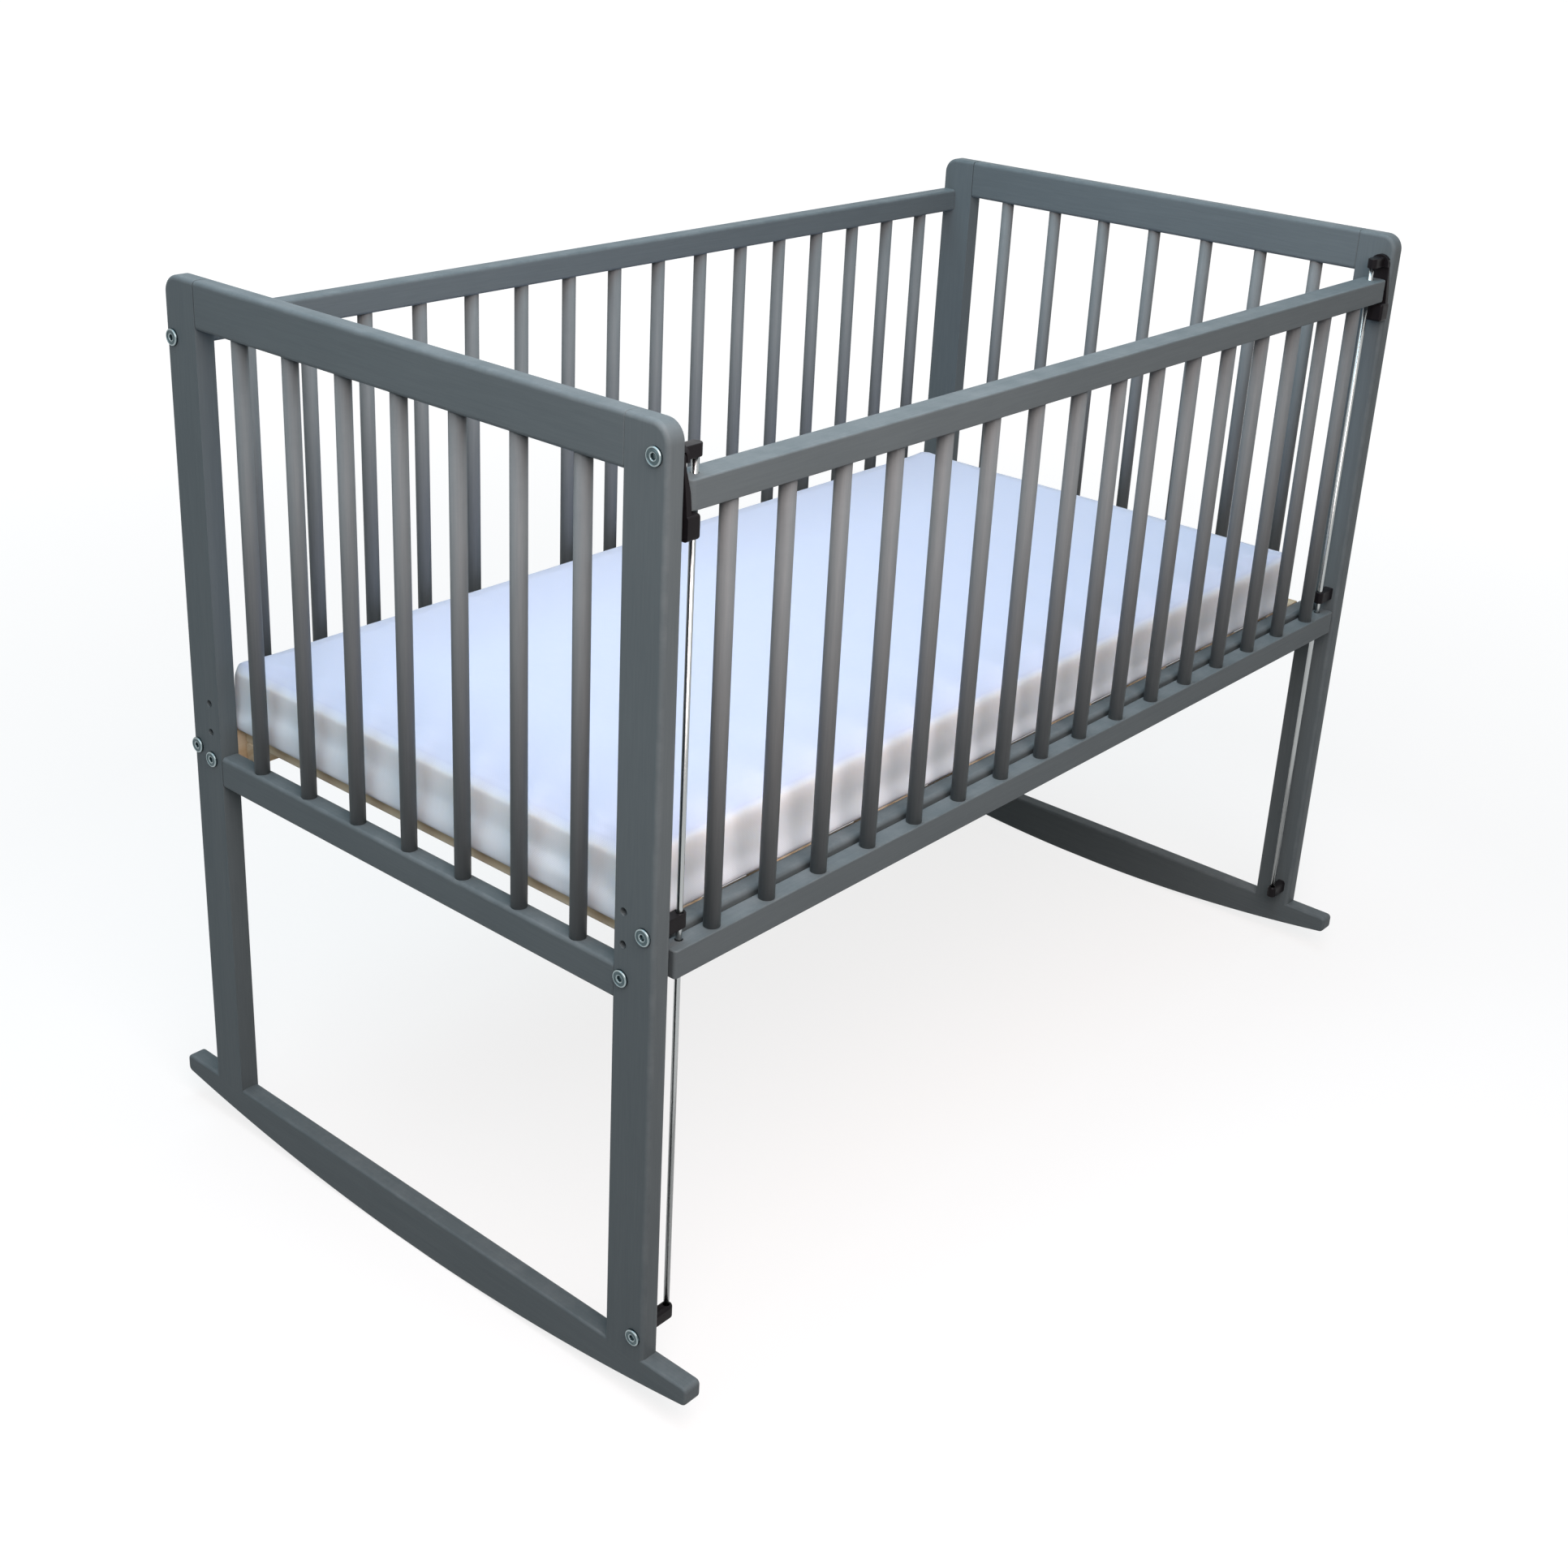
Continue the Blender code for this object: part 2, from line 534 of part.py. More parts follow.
def rod_head(label, side):
    """The top block: it holds the rod, and carries the pin that the latch swings on."""
    block = holder_body(side, side * (DROP_END_X + SEAT_GAP), HEAD_UNDER, HEAD_HEIGHT, HOLDER_ARRIS)
    head = add_object("rod_head_" + label, block, BLACK_PLASTIC)
    add_boolean(head, head_plate("head_plate_" + label, side), "UNION")
    add_boolean(head, rod_seat("head_seat_" + label, side, HEAD_UNDER - OVERRUN,
                               HEAD_UNDER + ROD_SEAT_DEPTH))
    floor = side * (INNER_X - SEAT_GAP - LATCH_NECK - SEAT_GAP)
    reach = LATCH_EYE_RADIUS + SEAT_GAP
    pocket = box((side * (INNER_X + OVERRUN), HEAD_PLATE_FRONT_Y - OVERRUN, HEAD_UNDER - OVERRUN),
                 (floor, LATCH_PIVOT_Y + reach, LATCH_PIVOT_Z + reach))
    add_boolean(head, add_cutter("latch_pocket_" + label, pocket))
    pin = cylinder((floor - side * SEAT_GAP, LATCH_PIVOT_Y, LATCH_PIVOT_Z),
                   (side * (INNER_X - SEAT_GAP), LATCH_PIVOT_Y, LATCH_PIVOT_Z),
                   LATCH_PIN_RADIUS, SPINDLE_SIDES)
    add_boolean(head, add_cutter("latch_pin_" + label, pin), "UNION")


def latch_outline(top, foot):
    """The arm from the side: an eye, a shoulder under the head, and a blade that bows forward."""
    front = LATCH_PIVOT_Y - LATCH_EYE_RADIUS
    eye = arc((LATCH_PIVOT_Y, LATCH_PIVOT_Z), LATCH_EYE_RADIUS, 180, 0, EYE_STEPS)
    bend_centre = (front + LATCH_ARM_WIDTH - LATCH_SHOULDER_ROUND, top - LATCH_SHOULDER_ROUND)
    bend = arc(bend_centre, LATCH_SHOULDER_ROUND, 90, 0, FINE_STEPS)
    blade = []
    for step in range(1, LATCH_ARM_STEPS + 1):
        share = step / LATCH_ARM_STEPS
        lean = LATCH_ARM_LEAN * math.sin(share * math.radians(90))
        blade.append((front - lean, top - share * (top - foot)))
    rear = [(y + LATCH_ARM_WIDTH, z) for y, z in blade if z < top - LATCH_SHOULDER_ROUND]
    return eye + [(eye[-1][0], top)] + bend + rear + blade[::-1] + [(front, top)]


def latch(label, side):
    """An arm that hangs on the head's pin, with the catch that the drop side rests on."""
    outer = side * (INNER_X - SEAT_GAP)
    inner = side * (DROP_END_X + SEAT_GAP)
    catch_top = DROP_TOP_RAIL_UNDER - SEAT_GAP
    catch_under = catch_top - CATCH_HEIGHT
    top = HEAD_UNDER - SEAT_GAP - SEAT_GAP
    low, high = sorted((outer, inner))
    shape = extruded(latch_outline(top, catch_under + CATCH_ROUND), X_AXIS, low, high)
    pivot = (side * DROP_END_X, LATCH_PIVOT_Y, LATCH_PIVOT_Z)
    arm = add_object("latch_" + label, shape, BLACK_PLASTIC, origin=pivot)

    thin = side * (INNER_X - SEAT_GAP - LATCH_NECK)
    beyond = side * (DROP_END_X - OVERRUN)
    taper_top = HEAD_UNDER - LATCH_TAPER_TOP
    taper_foot = taper_top - LATCH_TAPER
    above = LATCH_PIVOT_Z + LATCH_EYE_RADIUS + OVERRUN
    wedge = [(beyond, above), (thin, above), (thin, taper_top), (inner, taper_foot), (beyond, taper_foot)]
    shaving = extruded(wedge, Y_AXIS, LATCH_PIVOT_Y - LATCH_ARM_WIDTH, LATCH_PIVOT_Y + LATCH_ARM_WIDTH)
    add_boolean(arm, add_cutter("latch_taper_" + label, shaving))

    front = LATCH_PIVOT_Y - LATCH_EYE_RADIUS - LATCH_ARM_LEAN - CATCH_PROUD
    rear = front + CATCH_PROUD + LATCH_ARM_WIDTH
    catch = box((outer, front, catch_under), (side * (INNER_X - CATCH_REACH), rear, catch_top))
    for vert in catch.verts:
        if vert.co.z > catch_under + CATCH_ROUND and vert.co.y < rear - CATCH_ROUND:
            vert.co.z -= CATCH_FALL
    rounds = [e for e in catch.edges if abs(middle(e).x - outer) > CATCH_ROUND]
    round_edges(catch, rounds, CATCH_ROUND, PLAIN_STEPS)
    add_boolean(arm, add_cutter("catch_block_" + label, catch), "UNION")

    eye_hole = cylinder((side * (INNER_X + OVERRUN), LATCH_PIVOT_Y, LATCH_PIVOT_Z),
                        (beyond, LATCH_PIVOT_Y, LATCH_PIVOT_Z), LATCH_PIN_RADIUS + SEAT_GAP,
                        SPINDLE_SIDES)
    add_boolean(arm, add_cutter("latch_eye_" + label, eye_hole))


def rod_and_guides(label, side):
    """A steel rod, the guide that steadies it at half height and the block at its foot."""
    back = side * (INNER_X - SEAT_GAP)
    foot_top = FOOT_HOLDER_UNDER + HOLDER_HEIGHT
    seat_floor = foot_top - ROD_SEAT_DEPTH
    low = seat_floor + SEAT_GAP
    high = HEAD_UNDER + ROD_SEAT_DEPTH - SEAT_GAP
    rod = cylinder((side * ROD_X, ROD_Y, low), (side * ROD_X, ROD_Y, high), ROD_DIAMETER * HALF_SHARE,
                   SPINDLE_SIDES)
    add_object("guide_rod_" + label, rod, STEEL, origin=(side * ROD_X, ROD_Y, low))
    block = holder_body(side, back, MID_GUIDE_UNDER, HOLDER_HEIGHT, HOLDER_ARRIS)
    guide = add_object("rod_guide_" + label, block, BLACK_PLASTIC)
    add_boolean(guide, rod_seat("guide_bore_" + label, side, MID_GUIDE_UNDER - OVERRUN,
                                MID_GUIDE_UNDER + HOLDER_HEIGHT + OVERRUN))
    block = holder_body(side, back, FOOT_HOLDER_UNDER, HOLDER_HEIGHT, FOOT_TOP_ROUND)
    foot = add_object("rod_foot_" + label, block, BLACK_PLASTIC)
    add_boolean(foot, rod_seat("foot_seat_" + label, side, seat_floor, foot_top + OVERRUN))


def base_bar(name, low_y, finish):
    """A bar bolted between the ends, with its long edges eased."""
    reach = INNER_X - SEAT_GAP
    square_edged_bar(name, (-reach, low_y, BASE_TOP - BASE_BAR_HEIGHT), (reach, low_y + STOCK, BASE_TOP),
                     X_AXIS, BASE_BAR_ROUND, finish)


def slatted_base():
    """Two bars, and slats laid across between them on a ledger along each bar."""
    base_bar("base_front_bar", BASE_FRONT_Y, GREY_LACQUER)
    base_bar("base_rear_bar", BASE_REAR_Y - STOCK, NATURAL_WOOD)
    front = BASE_FRONT_Y + STOCK + SEAT_GAP
    rear = BASE_REAR_Y - STOCK - SEAT_GAP
    top = BASE_TOP - SLAT_DROP
    under = top - SLAT_THICKNESS
    reach = INNER_X - SLAT_END_GAP
    pitch = (reach + reach - SLAT_WIDTH) / (SLAT_COUNT - 1)
    half = SLAT_WIDTH * HALF_SHARE
    ledgers = box((-reach, front, under + LEDGER_NOTCH - LEDGER_SIZE),
                  (reach, front + LEDGER_SIZE, under + LEDGER_NOTCH))
    box((-reach, rear - LEDGER_SIZE, under + LEDGER_NOTCH - LEDGER_SIZE),
        (reach, rear, under + LEDGER_NOTCH), into=ledgers)
    slats = bmesh.new()
    for x in row(SLAT_COUNT, pitch):
        box((x - half, front, under), (x + half, rear, top), into=slats)
    frame = add_object("base_slats", slats, NATURAL_WOOD)
    add_boolean(frame, add_cutter("base_ledgers", ledgers), "UNION")


def mattress():
    """A foam pad in its cover: crowned, with soft edges, and drawn in between its corners."""
    front = DROP_FRONT_Y + STOCK + MATTRESS_FRONT_GAP
    low = Vector((MATTRESS_LEFT_GAP - INNER_X, front, BASE_TOP + SEAT_GAP))
    high = Vector((INNER_X - MATTRESS_RIGHT_GAP, REAR_INNER_Y - MATTRESS_REAR_GAP,
                   low.z + MATTRESS_THICKNESS - MATTRESS_CROWN))
    shape = box(low, high)
    for axis, cuts in ((X_AXIS, MATTRESS_LONG_CUTS), (Y_AXIS, MATTRESS_CROSS_CUTS),
                       (Z_AXIS, MATTRESS_HIGH_CUTS)):
        edges = [e for e in shape.edges if along(e, axis)]
        bmesh.ops.subdivide_edges(shape, edges=edges, cuts=cuts, use_grid_fill=True)
    shape.normal_update()
    crease = math.radians(SMOOTH_ANGLE_DEGREES)
    rims = [e for e in shape.edges if e.calc_face_angle(0) > crease]
    round_edges(shape, rims, MATTRESS_EDGE_ROUND, FINE_STEPS)
    centre = (low + high) * HALF_SHARE
    half = (high - low) * HALF_SHARE
    for vert in shape.verts:
        across = vert.co - centre
        share = Vector((across.x / half.x, across.y / half.y, across.z / half.z))
        flat_share = [1 - min(1, abs(value)) ** 2 for value in share]
        side_push = MATTRESS_BARREL * (flat_share[Z_AXIS] - 1)
        vert.co.x += share.x ** 3 * (side_push - MATTRESS_DRAW * flat_share[Y_AXIS])
        vert.co.y += share.y ** 3 * (side_push - MATTRESS_DRAW * flat_share[X_AXIS])
        if share.z > 0:
            rise_share = math.sqrt(flat_share[X_AXIS] * flat_share[Y_AXIS])
            vert.co.z += MATTRESS_CROWN * share.z * rise_share
    add_object("mattress", shape, MATTRESS_COVER)


for LABEL, SIDE in SIDES.items():
    end_post("front_post_" + LABEL, SIDE, -1)
    end_post("rear_post_" + LABEL, SIDE, 1)
    end_rails(LABEL, SIDE)
    rocker("rocker_" + LABEL, SIDE)
rear_side()
drop_side()
for LABEL, SIDE in SIDES.items():
    rod_head(LABEL, SIDE)
    latch(LABEL, SIDE)
    rod_and_guides(LABEL, SIDE)
slatted_base()
mattress()
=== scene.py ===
"""The looks of a bedside crib: grey lacquered wood, steel rods, black plastic latches and a
foam mattress in a thin pale cover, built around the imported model."""
import math
import random

import bmesh
import bpy
from mathutils import Matrix, Vector, noise


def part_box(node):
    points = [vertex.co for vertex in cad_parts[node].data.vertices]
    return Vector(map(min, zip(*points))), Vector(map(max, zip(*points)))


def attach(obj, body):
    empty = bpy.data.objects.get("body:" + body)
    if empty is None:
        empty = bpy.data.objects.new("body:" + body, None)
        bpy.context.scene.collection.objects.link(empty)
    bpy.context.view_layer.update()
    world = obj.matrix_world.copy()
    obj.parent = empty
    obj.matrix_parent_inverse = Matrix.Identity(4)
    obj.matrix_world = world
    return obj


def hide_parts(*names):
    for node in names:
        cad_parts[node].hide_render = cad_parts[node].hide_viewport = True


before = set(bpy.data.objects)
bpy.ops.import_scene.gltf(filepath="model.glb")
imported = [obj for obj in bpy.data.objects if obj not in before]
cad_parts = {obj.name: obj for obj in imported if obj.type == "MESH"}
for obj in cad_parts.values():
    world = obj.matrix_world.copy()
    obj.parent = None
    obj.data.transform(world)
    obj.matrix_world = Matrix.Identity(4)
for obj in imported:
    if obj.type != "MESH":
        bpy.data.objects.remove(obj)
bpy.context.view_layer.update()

scene = bpy.context.scene


# The view: a single camera before the left front corner, a third of a metre above the posts,
# with the long lens of the photograph. Nothing is moved to suit it.
PHOTO_SIZE = 1932
FOCAL_PIXELS = 2554.96
OPTICAL_CENTRE = (951.8, 842.66)
CAMERA_PLACE = (-1.3237, -1.0490, 1.0583)
CAMERA_RIGHT = Vector((0.65752, -0.75195, 0.04742))
CAMERA_DOWN = Vector((-0.26676, -0.29119, -0.91872))
CAMERA_FORWARD = Vector((0.70463, 0.59143, -0.39205))

lens = bpy.data.cameras.new("camera")
lens.sensor_width = 36
lens.lens = FOCAL_PIXELS * lens.sensor_width / PHOTO_SIZE
lens.shift_x = 0.5 - OPTICAL_CENTRE[0] / PHOTO_SIZE
lens.shift_y = OPTICAL_CENTRE[1] / PHOTO_SIZE - 0.5
lens.clip_start = 0.01
camera = bpy.data.objects.new("camera", lens)
turn = Matrix((CAMERA_RIGHT, -CAMERA_DOWN, -CAMERA_FORWARD)).transposed()
camera.matrix_world = Matrix.Translation(CAMERA_PLACE) @ turn.to_4x4()
scene.collection.objects.link(camera)
scene.camera = camera
scene.view_settings.view_transform = "Standard"


# The studio: a broad cool light overhead, a warmer soft box before the left front corner and
# a weaker cool one to the left. Together they are white, and near, so they fade downwards.
def add_lamp(name, place, target, size, power, colour):
    light = bpy.data.lights.new(name, "AREA")
    light.shape = "DISK"
    light.size = size
    light.energy = power
    light.color = colour
    lamp = bpy.data.objects.new(name, light)
    lamp.location = place
    lamp.rotation_euler = (Vector(target) - Vector(place)).to_track_quat("-Z", "Y").to_euler()
    lamp.visible_camera = False
    scene.collection.objects.link(lamp)


CRIB_MIDDLE = (0, 0, 0.45)
SKY_TINT = (0.90, 0.98, 1.0, 1)
SKY_STRENGTH = 0.08
add_lamp("overhead", (-0.15, 0.10, 2.20), CRIB_MIDDLE, size=1.8, power=32, colour=(0.68, 0.88, 1.0))
add_lamp("front", (-0.80, -1.05, 1.45), CRIB_MIDDLE, size=1.4, power=32, colour=(1.0, 0.84, 0.81))
add_lamp("left", (-1.50, 0.10, 1.35), CRIB_MIDDLE, size=1.6, power=7, colour=(0.76, 0.90, 1.0))


class Nodes:
    """A node tree, written down as it is wired."""

    def __init__(self, tree):
        self.tree = tree

    def add(self, kind, settings=None, **sockets):
        node = self.tree.nodes.new(kind)
        for key, value in (settings or {}).items():
            setattr(node, key, value)
        for key, value in sockets.items():
            self.feed(node, key.replace("_", " "), value)
        return node

    def feed(self, node, socket, value):
        target = node.inputs[socket]
        if isinstance(value, bpy.types.NodeSocket):
            self.tree.links.new(value, target)
        else:
            target.default_value = value

    def maths(self, operation, first, second=0.0):
        node = self.add("ShaderNodeMath", {"operation": operation})
        self.feed(node, 0, first)
        self.feed(node, 1, second)
        return node.outputs[0]

    def vectors(self, operation, first, second):
        node = self.add("ShaderNodeVectorMath", {"operation": operation})
        self.feed(node, 0, first)
        self.feed(node, 1, second)
        return node.outputs[0]

    def span(self, value, low, high, out_low=0.0, out_high=1.0):
        """A value from low to high, stretched to another range and held there."""
        node = self.add("ShaderNodeMapRange")
        for socket, setting in zip(("From Min", "From Max", "To Min", "To Max"),
                                   (low, high, out_low, out_high)):
            self.feed(node, socket, setting)
        self.feed(node, "Value", value)
        return node.outputs[0]

    def mix(self, share, first, second):
        node = self.add("ShaderNodeMix", {"data_type": "RGBA"})
        for socket, value in ((0, share), (6, first), (7, second)):
            self.feed(node, socket, value)
        return node.outputs[2]

    def noise(self, place, scale, detail, **more):
        made = self.add("ShaderNodeTexNoise", Vector=place, Scale=scale, Detail=detail, **more)
        return made.outputs["Fac"]

    def group(self, tree, **sockets):
        return self.add("ShaderNodeGroup", {"node_tree": tree}, **sockets).outputs

    def attribute(self, name):
        return self.add("ShaderNodeAttribute", {"attribute_name": name}).outputs

    def bump(self, shader, height, strength, distance, **more):
        made = self.add("ShaderNodeBump", Height=height, Strength=strength, Distance=distance, **more)
        self.feed(shader, "Normal", made.outputs[0])

    def seen(self):
        """1 on the way from the eye, straight, mirrored or through glass, and 0 for the rest."""
        path = self.add("ShaderNodeLightPath").outputs
        return self.maths("MAXIMUM", path["Is Camera Ray"],
                          self.maths("MAXIMUM", path["Is Glossy Ray"], path["Is Transmission Ray"]))


world = bpy.data.worlds.new("studio")
world.use_nodes = True
scene.world = world
sky = Nodes(world.node_tree)
sky.tree.nodes.clear()
soft = sky.add("ShaderNodeBackground", Color=SKY_TINT, Strength=SKY_STRENGTH)
white = sky.add("ShaderNodeBackground", Color=(1, 1, 1, 1), Strength=1.0)
both = sky.add("ShaderNodeMixShader")
sky.feed(both, 0, sky.seen())
sky.feed(both, 1, soft.outputs[0])
sky.feed(both, 2, white.outputs[0])
sky.feed(sky.add("ShaderNodeOutputWorld"), "Surface", both.outputs[0])


# The posts: four flat uprights of beech, rounded over along their outer edges and at the
# outer top corner, drilled for a higher base, and lacquered grey.
LACQUER = (0.108, 0.134, 0.143, 1)
# a lighter coat for the rounded edges: rubbed paint and a painted highlight
LACQUER_WORN_AND_LIT = (0.165, 0.195, 0.205, 1)
LACQUER_SHADE = (0.096, 0.120, 0.129, 1)
LACQUER_DEEP = (0.050, 0.062, 0.070, 1)      # in the pores of the grain
DUST = (0.42, 0.44, 0.45, 1)
STICK_LACQUER_LIT = (0.150, 0.167, 0.171, 1)     # painted light: the sticks are painted paler, for the front light that falls on them
STICK_SHADE_LIT = (0.134, 0.153, 0.159, 1)
EDGE_ROUND = 0.0035
CORNER_ROUND = 0.014
CORNER_STEPS = 10
ROUND_STEPS = 5
SHARP_DEGREES = 30
SPARE_HOLE_RADIUS = 0.003
SPARE_HOLES = {"front": (-0.2251, (0.3670, 0.3915)), "rear": (0.2287, (0.3670, 0.3915))}
HOLE_SIDES = 24
JOINT_SINK = 0.004           # how far a post reaches into the rounded top edge of its rocker
INNER_ARRIS = 0.0006
INNER_EDGE = -0.0178         # a post's inner edges lie behind this line, 0.2 mm from its face
DRILL_THROUGH = 0.01         # how far a drilled hole is cut past the wood at both ends
CLOSE = 1e-5                 # two places nearer than this are the same
STRAIGHT = 0.999             # an edge with this share of its length along an axis runs along it


def new_group(name, inputs, outputs, kind="ShaderNodeTree"):
    """An empty node group with its sockets: names with kinds, and a value where one is given."""
    tree = bpy.data.node_groups.new(name, kind)
    for socket, sort, value in inputs:
        made = tree.interface.new_socket(socket, in_out="INPUT", socket_type=sort)
        if value is not None:
            made.default_value = value
    for socket, sort in outputs:
        tree.interface.new_socket(socket, in_out="OUTPUT", socket_type=sort)
    nodes = Nodes(tree)
    return tree, nodes, nodes.add("NodeGroupInput").outputs, nodes.add("NodeGroupOutput")


FLOAT, VECTOR = "NodeSocketFloat", "NodeSocketVector"

# Long grain: fine streaks that run along a stick, broken up by slow waves.
grain_tree, g, g_in, g_out = new_group(
    "long_grain",
    [("Place", VECTOR, None), ("Fineness", FLOAT, 900.0), ("Stretch", FLOAT, 0.035)],
    [("Streaks", FLOAT), ("Bands", FLOAT)])
squeeze = g.add("ShaderNodeCombineXYZ", X=1.0, Y=1.0, Z=g_in["Stretch"])
stretched = g.vectors("MULTIPLY", g_in["Place"], squeeze.outputs[0])
fine = g.noise(stretched, g_in["Fineness"], 4.0, Roughness=0.6)
broad = g.noise(stretched, g.maths("MULTIPLY", g_in["Fineness"], 0.16), 3.0, Distortion=0.6)
g.feed(g_out, "Streaks", g.span(fine, 0.35, 0.65))
g.feed(g_out, "Bands", g.span(broad, 0.3, 0.7))

# Wear and painted highlight: the rounded edges of a piece, broken up so that only parts of them are
# lightened, as rubbed paint and as a painted highlight.
highlight_and_wear_tree, w, w_in, w_out = new_group(
    "edge_wear_and_highlight", [("Place", VECTOR, None), ("Edge", FLOAT, 0.0), ("Amount", FLOAT, 0.5)],
    [("Mask", FLOAT)])
patches = w.span(w.noise(w_in["Place"], 55.0, 5.0, Roughness=0.65), 0.42, 0.72)
patchy_edge = w.maths("MULTIPLY", patches, w_in["Edge"])
w.feed(w_out, "Mask", w.maths("MULTIPLY", patchy_edge, w_in["Amount"]))

# Dust: a thin, patchy veil on what faces up.
dust_tree, d, d_in, d_out = new_group(
    "dust", [("Place", VECTOR, None), ("Amount", FLOAT, 0.1)], [("Mask", FLOAT)])
facing = d.add("ShaderNodeSeparateXYZ", Vector=d.add("ShaderNodeNewGeometry").outputs["Normal"])
veil = d.span(d.noise(d_in["Place"], 38.0, 6.0, Roughness=0.7), 0.4, 0.75)
settled = d.maths("MULTIPLY", veil, d.span(facing.outputs["Z"], 0.3, 0.95))
d.feed(d_out, "Mask", d.maths("MULTIPLY", settled, d_in["Amount"]))


def new_material(name, **constants):
    """A material with its Principled shader, whose plain settings stand on its own sockets."""
    material = bpy.data.materials.new(name)
    material.use_nodes = True
    nodes = Nodes(material.node_tree)
    shader = material.node_tree.nodes["Principled BSDF"]
    for socket, value in constants.items():
        nodes.feed(shader, socket.replace("_", " "), value)
    return material, nodes, shader


def lacquer_finish(name, coat, shade):
    """A satin coat over fine grain, lighter at the edges, where it is rubbed and a highlight is painted,
    and a little dusty on top.
    """
    material, n, shader = new_material(name, IOR=1.48, Specular_IOR_Level=0.12)
    solid = n.add("ShaderNodeTexCoord").outputs["Object"]
    grain = n.group(grain_tree, Place=n.attribute("grain")["Vector"], Fineness=620.0, Stretch=0.04)
    lit_worn_edges = n.group(highlight_and_wear_tree, Place=solid, Edge=n.attribute("edge")["Fac"], Amount=0.30)
    dusty = n.group(dust_tree, Place=solid, Amount=0.12)
    tone = n.mix(n.span(n.noise(solid, 9.0, 4.0), 0.35, 0.65, 0.0, 0.55), coat, shade)
    tone = n.mix(n.span(grain["Streaks"], 0.0, 1.0, 0.14, 0.0), tone, LACQUER_DEEP)
    # the rounded edges lightened: rubbed paint and a painted highlight along them
    tone = n.mix(lit_worn_edges["Mask"], tone, LACQUER_WORN_AND_LIT)
    tone = n.mix(dusty["Mask"], tone, DUST)
    n.feed(shader, "Base Color", tone)
    n.feed(shader, "Roughness", n.span(grain["Bands"], 0.0, 1.0, 0.43, 0.53))
    peel = n.maths("MULTIPLY", n.noise(solid, 420.0, 2.0), 0.5)
    n.bump(shader, n.maths("ADD", n.maths("MULTIPLY", grain["Streaks"], 0.7), peel), 0.16, 0.00025)
    return material


lacquer = lacquer_finish("grey_lacquer", LACQUER, LACQUER_SHADE)
# painted light: a paler copy of the lacquer for the spindles, which stand in the front light
lit_stick_lacquer = lacquer_finish("grey_lacquer_sticks_lit", STICK_LACQUER_LIT, STICK_SHADE_LIT)

X_AXIS, Y_AXIS, Z_AXIS = range(3)
draw = random.Random(7)


def plain_mesh(piece):
    """Turn an object's evaluated shape into its own mesh, and take its modifiers off."""
    bpy.context.view_layer.update()
    made = bpy.data.meshes.new_from_object(piece.evaluated_get(bpy.context.evaluated_depsgraph_get()))
    piece.modifiers.clear()
    piece.data = made
    return piece


def face_out(shape):
    bmesh.ops.recalc_face_normals(shape, faces=shape.faces)
    if shape.calc_volume(signed=True) < 0:
        bmesh.ops.reverse_faces(shape, faces=shape.faces)


def rough_piece(name, shape, material):
    """A closed shape as an object, with its faces outwards."""
    face_out(shape)
    mesh = bpy.data.meshes.new(name)
    shape.to_mesh(mesh)
    shape.free()
    mesh.materials.append(material)
    piece = bpy.data.objects.new(name, mesh)
    scene.collection.objects.link(piece)
    return piece


def work(piece, tool, operation="DIFFERENCE"):
    """Take a closed shape out of a piece, or join it on."""
    other = rough_piece("tool", tool, piece.data.materials[0])
    change = piece.modifiers.new("work", "BOOLEAN")
    change.solver = "EXACT"
    change.operation = operation
    change.object = other
    plain_mesh(piece)
    bpy.data.objects.remove(other)


def finish_piece(piece, axis=Z_AXIS):
    """Give a piece its grain's own frame, its sharp edges and weighted normals."""
    mesh = piece.data
    shift = Vector((draw.uniform(-1, 1), draw.uniform(-1, 1), draw.uniform(-9, 9)))
    places = mesh.attributes.new("grain", "FLOAT_VECTOR", "POINT")
    for corner, spot in zip(mesh.vertices, places.data):
        co = corner.co
        spot.vector = Vector((co[(axis + 1) % 3], co[(axis + 2) % 3], co[axis])) + shift
    mesh.shade_smooth()
    mesh.set_sharp_from_angle(angle=math.radians(SHARP_DEGREES))
    weights = piece.modifiers.new("weights", "WEIGHTED_NORMAL")
    weights.keep_sharp = True
    return plain_mesh(piece)


def new_piece(name, shape, material, axis=Z_AXIS):
    return finish_piece(rough_piece(name, shape, material), axis)


def place_in(piece, body, slot, *nodes):
    """Hang a finished piece on its body and hide the nodes that it stands for. The slot is not used."""
    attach(piece, body)
    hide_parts(*nodes)


def box_shape(low, high):
    shape = bmesh.new()
    low, high = Vector(low), Vector(high)
    size = Matrix.Diagonal((*(high - low), 1))
    bmesh.ops.create_cube(shape, size=1, matrix=Matrix.Translation((low + high) / 2) @ size)
    return shape


def runs(edge, axis):
    span = edge.verts[1].co - edge.verts[0].co
    return abs(span[axis]) > STRAIGHT * span.length


def midst(edge):
    return (edge.verts[0].co + edge.verts[1].co) / 2


def same(first, second):
    return abs(first - second) < CLOSE


def round_over(shape, edges, radius, steps=ROUND_STEPS, mark_edge=True):
    """Round edges and mark the new faces, which the edge mask lightens as wear and as a painted highlight.
    """
    layer = shape.faces.layers.float.get("edge") or shape.faces.layers.float.new("edge")
    made = bmesh.ops.bevel(shape, geom=list(edges), offset=radius, segments=steps, profile=0.5,
                           affect="EDGES", clamp_overlap=True)
    for face in made["faces"]:
        face[layer] = 1.0 if mark_edge else face[layer]


def rod_shape(start, end, radius, sides=32, into=None):
    start, end = Vector(start), Vector(end)
    run = end - start
    place = Matrix.Translation((start + end) / 2) @ run.to_track_quat("Z", "Y").to_matrix().to_4x4()
    shape = into or bmesh.new()
    bmesh.ops.create_cone(shape, cap_ends=True, segments=sides, radius1=radius, radius2=radius,
                          depth=run.length, matrix=place)
    return shape


